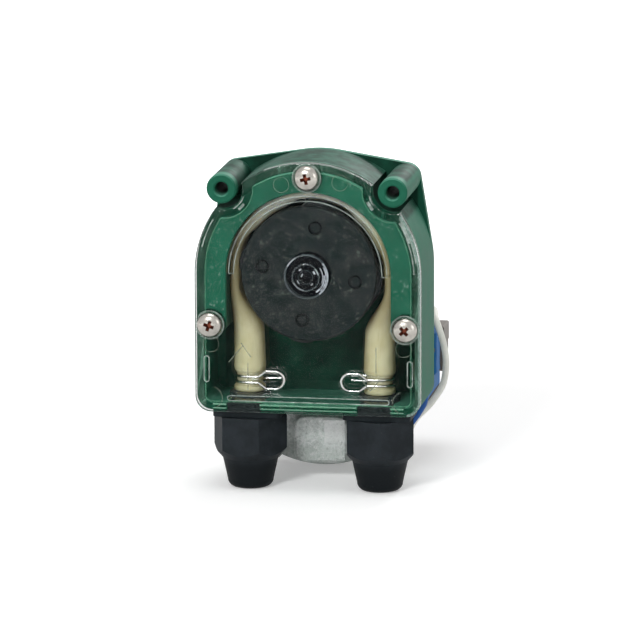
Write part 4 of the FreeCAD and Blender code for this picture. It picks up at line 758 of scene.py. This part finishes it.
def bearing_rings(pale, faint):
    """Painted rings on the round edges of the cover's bearing, and painted highlights on the arcs that face
    the light.
    """
    edges = Shell()
    edges.hoop(0, 0, 7.6, -1.0, 0.34, 64)
    edges.hoop(0, 0, 4.6, BEARING_FRONT, 0.24, 64)
    edges.hoop(0, 0, 2.5, BEARING_FRONT, 0.12, 40)
    edges.piece("bearing_ring_edges", faint)
    shoulder = ((7.5, -1.25, -52, 40, 0.26), (6.95, -1.3, -44, 30, 0.2), (6.3, -1.3, -56, 6, 0.28),
                (5.8, -1.4, -20, 34, 0.14), (7.5, -1.25, 118, 152, 0.16))
    front = ((4.5, 14, 44, 0.2), (4.5, 205, 262, 0.14), (3.5, 22, 40, 0.3), (3.3, 116, 132, 0.26),
             (3.2, 305, 322, 0.2), (3.1, 200, 226, 0.14), (1.5, 128, 168, 0.26))
    glints = Shell()
    for arc_radius, depth, start, stop, radius in shoulder:
        glints.bead(arc(0, 0, arc_radius, start, stop, 14), depth, radius, sides=8)
    for arc_radius, start, stop, radius in front:
        glints.bead(arc(0, 0, arc_radius, start, stop, 14), BEARING_FRONT, radius, sides=8)
    glints.piece("bearing_glints", pale)


def cover_marks(faint):
    """Rings left by the mould's ejector pins, and the two arrows that show which way the pump runs."""
    rings = Shell()
    for x, height, radius in ((11.7, 33.1, 2.8), (-8.9, 31.9, 2.7), (-33.9, -24.9, 2.8), (33.9, -24.9, 2.8)):
        rings.hoop(x, height, radius, 0.0, 0.1, 32, sides=8)
    for x, start, stop in ((-33.9, -60, 75), (33.9, 105, 240)):
        rings.bead(arc(x, -43.9, 3.9, start, stop, 16), 0.0, 0.13, sides=8)
    rings.piece("ejector_rings", faint)
    left_arrow = (((-27.6, -31.1), (-22.6, -25.2)), ((-23.3, -24.2), (-19.8, -29.1)),
                  ((-20.9, -31.3), (-20.9, -40.9)))
    right_arrow = (((24.2, -24.6), (24.2, -33.5)), ((18.6, -35.4), (22.1, -39.9)),
                   ((22.1, -39.9), (25.6, -35.9)))
    arrows = Shell()
    for line in left_arrow + right_arrow:
        arrows.bead(line, -0.05, 0.2, sides=8)
    arrows.piece("flow_arrows", faint)


# Beside the coil

def squared(part):
    """Pushes a sine or cosine outwards, so that a round section becomes a rounded rectangle."""
    return math.copysign(abs(part) ** 0.4, part)


def taped_joint(blue):
    """Tape wound over a wire joint on the coil's right side, with a slight waist in two places."""
    middle_x, middle_depth = 33.8, 64.5
    half_width, half_depth = 3.0, 5.9
    sections = ((-30.2, 0.8), (-31.0, 1.0), (-35.0, 0.97), (-38.6, 1.0), (-42.0, 0.96), (-45.4, 1.0),
                (-46.2, 0.8))
    tape = Shell()
    tape.loft([[at(middle_x + half_width * share * squared(math.cos(angle)),
                   middle_depth + half_depth * share * squared(math.sin(angle)), height)
                for angle in angles_round(24)] for height, share in sections])
    tape.piece("taped_joint", blue)


def terminal_block_top(brown):
    """The top of the block that the leads leave from, with its upper edges broken."""
    left, right, front, back = 31.2, 37.9, 70.3, 82.5
    rings = []
    for height, inset in ((-37.0, 0.0), (-31.0, 0.0), (-30.5, 0.5)):
        corners = ((left + inset, front + inset), (right - inset, front + inset),
                   (right - inset, back - inset), (left + inset, back - inset))
        rings.append([at(x, depth, height) for x, depth in corners])
    block = Shell()
    block.loft(rings)
    block.piece("terminal_block_top", brown)


def flowing(points, steps=8):
    """A smooth line through points."""
    spots = [Vector(point) for point in points]
    spots = [2 * spots[0] - spots[1]] + spots + [2 * spots[-1] - spots[-2]]
    line = []
    for one, two, three, four in zip(spots, spots[1:], spots[2:], spots[3:]):
        for step in range(steps):
            share = step / steps
            line.append(0.5 * (2 * two + (three - one) * share
                               + (2 * one - 5 * two + 4 * three - four) * share ** 2
                               + (3 * two - one - 3 * three + four) * share ** 3))
    line.append(spots[-2])
    return line


def lead(name, route, insulation):
    """One of the motor's leads, which takes the place of the model's plainer one."""
    run = Shell()
    run.wire(flowing(route), LEAD_RADIUS)
    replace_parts(run.piece(name + "_run", insulation), name)


def leads(white, blue):
    """From the coil's joints round its right side and down to the plug, in (x, depth, height) points."""
    white_route = ((32.6, 80, -31.0), (32.7, 79, -27.6), (34.2, 71, -24.6), (36.2, 61, -25.8),
                   (38.4, 57, -29.8), (40.0, 57, -36.0), (40.5, 57, -42.0), (39.3, 57, -49.0),
                   (34.8, 56, -56.0), (30.0, 54, -61.0), (27.6, 50, -66.5), (27.3, 46.6, -70.6),
                   (26.0, 46.6, -71.5))
    blue_route = ((32.6, 66, -31.0), (32.6, 64, -28.0), (33.0, 57, -28.0), (33.4, 52, -40.0),
                  (34.4, 48, -51.5), (32.6, 46, -56.4), (29.2, 44.4, -61.4), (27.3, 43, -65.8),
                  (27.2, 42, -70.4), (26.0, 42, -71.5))
    lead("white_lead", white_route, white)
    lead("blue_lead", blue_route, blue)


# Cover screws

def screw_profile():
    """Pan head, threaded shank and tip, as (radius, depth) points."""
    head = [(0.4, -2.6), (1.4, -2.56), (2.5, -2.38), (3.4, -1.98), (4.05, -1.35), (4.4, -0.7), (4.5, -0.3),
            (4.42, -0.02), (SCREW_SHANK, -0.02)]
    thread = []
    for turn in range(THREAD_TURNS):
        root = THREAD_START + THREAD_PITCH * turn
        thread += [(SCREW_SHANK - 0.5, root), (SCREW_SHANK - 0.05, root + THREAD_PITCH / 2)]
    return head + thread + [(1.2, 15.4), (0.2, 16.0)]


def recess_tool(x, height, turn):
    """Two tapered blades that cross, in the shape of the driver's tip."""
    blades = Shell()
    for angle in (math.radians(turn), math.radians(turn + 90)):
        along = Vector((math.cos(angle), math.sin(angle)))
        rings = []
        for reach, half, depth in ((2.05, 0.66, -3.0), (1.8, 0.56, -2.3), (0.8, 0.32, -0.9)):
            rings.append([at(x + one * reach * along.x - two * half * along.y, depth,
                             height + one * reach * along.y + two * half * along.x)
                          for one, two in ((1, 1), (-1, 1), (-1, -1), (1, -1))])
        blades.loft(rings)
    return linked(bpy.data.objects.new("recess_tool", blades.mesh("recess_tool")))


def cover_screw(number, x, height, turn, shiny, tarnished):
    """A pan-head screw with a threaded shank and a cross recess, which is tarnished inside."""
    body = Shell()
    body.turned(screw_profile(), x, height, 64)
    screw = linked(bpy.data.objects.new(f"cover_screw_{number}", body.mesh("screw_head")))
    tool = recess_tool(x, height, turn)
    cut = screw.modifiers.new("recess", "BOOLEAN")
    cut.operation = "DIFFERENCE"
    cut.solver = "EXACT"
    cut.use_self = True
    cut.object = tool
    graph = bpy.context.evaluated_depsgraph_get()
    mesh = bpy.data.meshes.new_from_object(screw.evaluated_get(graph))
    screw.modifiers.clear()
    screw.data = mesh
    bpy.data.objects.remove(tool)
    soften(mesh)
    mesh.materials.clear()
    mesh.materials.append(shiny)
    mesh.materials.append(tarnished)
    for face in mesh.polygons:
        beside, depth, above = (face.center - at(x, 0, height)) * 1000
        face.material_index = int(math.hypot(beside, above) < RECESS_RADIUS and -2.3 < depth < -0.5)
    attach(screw, "pump_body")
    return screw


def cover_screws(shiny, gleam):
    """The three screws, and a raised collar of clear plastic round each, painted pale as a highlight."""
    tarnished = steel("recess_tarnish", colour(126, 72, 56), 0.5)
    screws = [cover_screw(number, *place, shiny, tarnished)
              for number, place in enumerate(SCREW_PLACES, start=1)]
    for screw in screws:
        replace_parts(screw, "cover_screws")
    collars = Shell()
    for x, height, _ in SCREW_PLACES:
        collars.hoop(x, height, 4.9, -0.05, 0.29, 48, sides=12)
    collars.piece("screw_collars", gleam)


# Tube

def blend(one, other, share):
    """From one number at share 0 to the other at share 1, smoothly, and level beyond."""
    share = max(0.0, min(1.0, share))
    share = share * share * (3 - 2 * share)
    return one + (other - one) * share


def tube_ring(middle_x, middle_height, out_x, out_height, half_thickness, half_width, sides=40):
    """A section of the tube: flat when its half width is more than its half thickness, else round."""
    ring = []
    for angle in angles_round(sides, shift=0.5):
        out = half_thickness * math.cos(angle)
        back = half_thickness * math.sin(angle) + math.copysign(half_width - half_thickness, math.sin(angle))
        ring.append(at(middle_x + out * out_x, TUBE_DEPTH + back, middle_height + out * out_height))
    return ring


def tube_outside(height):
    """The leg's radius below the squeezed part: round, swollen over the fitting, nipped by the wire."""
    stations = [(-44.0, 5.15), (-43.8, 5.45), (-43.2, 5.6), (-42.3, 5.5), (-41.5, 4.75), (-41.0, 4.42),
                (-40.3, 4.42), (-39.6, 4.6), (-38.9, 4.42), (-38.2, 4.42), (-37.6, 4.75), (-36.6, 5.4),
                (-35.4, 5.62), (-33.6, 5.5), (-31.2, 5.42), (LEG_ROUND, TUBE_RADIUS)]
    for (low, small), (high, large) in zip(stations, stations[1:]):
        if height <= high:
            break
    return blend(small, large, (height - low) / (high - low))


def leg_rings(side, heights):
    """Sections of one leg, which goes from squeezed to round and leans in a little above its fitting."""
    rings = []
    for height in heights:
        share = (LEG_TOP - height) / (LEG_TOP - LEG_ROUND)
        middle = blend(SQUEEZED_RADIUS, LEG_PLACE + 0.2, share) - blend(0, 0.2, (-24.0 - height) / 8.0)
        if height < LEG_ROUND:
            thickness = width = tube_outside(height)
        else:
            thickness = blend(SQUEEZED_HALF_THICKNESS, TUBE_RADIUS, share)
            width = blend(SQUEEZED_HALF_WIDTH, TUBE_RADIUS, share)
        rings.append(tube_ring(side * middle, height, side, 0, thickness, width))
    return rings


def arch_rings():
    """Sections from left to right over the rollers: thinnest at each roller, relaxed between them."""
    rings = []
    for step in range(91):
        turn = 180 - 2 * step
        out_x, out_height = math.cos(math.radians(turn)), math.sin(math.radians(turn))
        from_roller = abs((turn + PIN_TURN + 45) % 90 - 45)
        relaxed = RELAXED_HALF_THICKNESS * blend(0, 1, (from_roller - 14) / 20)
        middle = SQUEEZED_RADIUS - relaxed
        rings.append(tube_ring(middle * out_x, middle * out_height, out_x, out_height,
                               SQUEEZED_HALF_THICKNESS + relaxed, SQUEEZED_HALF_WIDTH - 0.4 * relaxed))
    return rings


def tube_end(side):
    """A leg's open lower end, from inside its bore to the lip."""
    sections = ((-30.0, TUBE_BORE), (TUBE_FOOT + 0.1, TUBE_BORE), (TUBE_FOOT, TUBE_BORE),
                (TUBE_FOOT, TUBE_LIP))
    return [tube_ring(side * LEG_PLACE, height, side, 0, radius, radius) for height, radius in sections]


def pump_tube(rubber):
    """The squeezed tube: up one side, over the rollers and down the other, open at both ends."""
    down = [-0.5 * step for step in range(1, 46)] + [LEG_ROUND - 0.25 * step for step in range(85)]
    tube = Shell()
    tube.loft(tube_end(-1) + leg_rings(-1, reversed(down)) + arch_rings() + leg_rings(1, down)
              + tube_end(1)[::-1])
    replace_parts(tube.piece("soft_tube", rubber), "pump_tube")


# Camera, floor and light

def photo_camera():
    """Where the photograph was taken from, as fitted to the object's edges."""
    turn, lift, roll = (math.radians(angle) for angle in (9.4, 11.2, -0.2))
    distance = 2.139
    target = at(2.1, 15.0, -18.3)
    ahead = Vector((-math.sin(turn) * math.cos(lift), math.cos(turn) * math.cos(lift), -math.sin(lift)))
    right = Vector((math.cos(turn), math.sin(turn), 0))
    up = right.cross(ahead)
    across = math.cos(roll) * right + math.sin(roll) * up
    above = math.cos(roll) * up - math.sin(roll) * right
    camera = linked(bpy.data.objects.new("photo_camera", bpy.data.cameras.new("photo_camera")))
    camera.data.sensor_width = 36
    camera.data.lens = 344.6
    camera.data.clip_end = 20
    axes = Matrix((across, above, -ahead)).transposed().to_4x4()
    camera.matrix_world = Matrix.Translation(target - distance * ahead) @ axes
    bpy.context.scene.camera = camera


def backdrop():
    """A pale floor that the nuts stand on, white to the camera except for the soft shadow."""
    floor = linked(bpy.data.objects.new("floor", bpy.data.meshes.new("floor")))
    level = at(0, 0, FLOOR).z
    corners = [(-4, -4, level), (4, -4, level), (4, 4, level), (-4, 4, level)]
    floor.data.from_pydata(corners, [], [(0, 1, 2, 3)])
    finish = Finish("pale_floor", base_color=grey(0.86), roughness=0.9, specular_ior_level=0.0,
                    emission_strength=1.0)
    away = finish.length(finish.spot())
    glow = finish.mix(away.rise(250.0, 900.0), grey(0.27), grey(1.0))
    finish.shade(emission_color=finish.mix(finish.seen(), grey(0.0), glow))
    floor.data.materials.append(finish.material)


def lamp(name, place, size, power):
    """A round soft lamp that looks at the middle of the pump."""
    light = bpy.data.lights.new(name, "AREA")
    light.shape = "DISK"
    light.size = size
    light.energy = power
    thing = linked(bpy.data.objects.new(name, light))
    thing.location = place
    thing.rotation_euler = (at(0, 15, -15) - Vector(place)).to_track_quat("-Z", "Y").to_euler()


def light():
    """Soft light from above and a little in front, and a world that is white to look at."""
    world = bpy.data.worlds.new("studio")
    bpy.context.scene.world = world
    world.use_nodes = True
    sky = Graph(world.node_tree)
    ground = next(node for node in sky.tree.nodes if node.type == "BACKGROUND")
    sky.feed(ground.inputs["Color"], grey(1.0))
    sky.feed(ground.inputs["Strength"], sky.node("MapRange", inputs={"Value": sky.seen(), "To Min": 0.3,
                                                                     "To Max": 1.0}))
    lamp("key", (-0.4, -1.6, 0.9), 0.5, 19)
    lamp("top", (0.0, -0.2, 1.5), 0.9, 8)
    lamp("fill", (1.2, -0.8, 0.4), 0.7, 2.5)
    lamp("back", (0.4, 1.5, 0.8), 0.6, 12)


slots = dress()
photo_camera()
backdrop()
light()
pump_tube(slots["tube_rubber"])
# Materials for the painted highlights on the clear cover, and a faint one for its moulded marks
pale_line = clear_line("rib_gleam", colour(186, 196, 190), 0.6)
leafy_line = clear_line("step_gleam", colour(96, 160, 128), 0.62)
step_line(leafy_line)
rib_lines(pale_line)
foot_lines(leafy_line)
rim_glints(pale_line)
edge_line(clear_line("edge_gleam", colour(150, 172, 164), 0.5))
cover_marks(clear_line("faint_moulding", colour(136, 146, 130), 0.5))
bearing_rings(clear_line("bearing_gleam", colour(206, 212, 220), 0.72),
              clear_line("bearing_edge", colour(84, 94, 100), 0.5))
cover_screws(slots["cover_screw_steel"], clear_line("collar_gleam", colour(168, 182, 174), 0.42))
taped_joint(slots["coil_tape_film"])
terminal_block_top(slots["bobbin_moulding"])
leads(slots["white_insulation"], slots["blue_insulation"])
bpy.context.scene.view_settings.view_transform = "Standard"
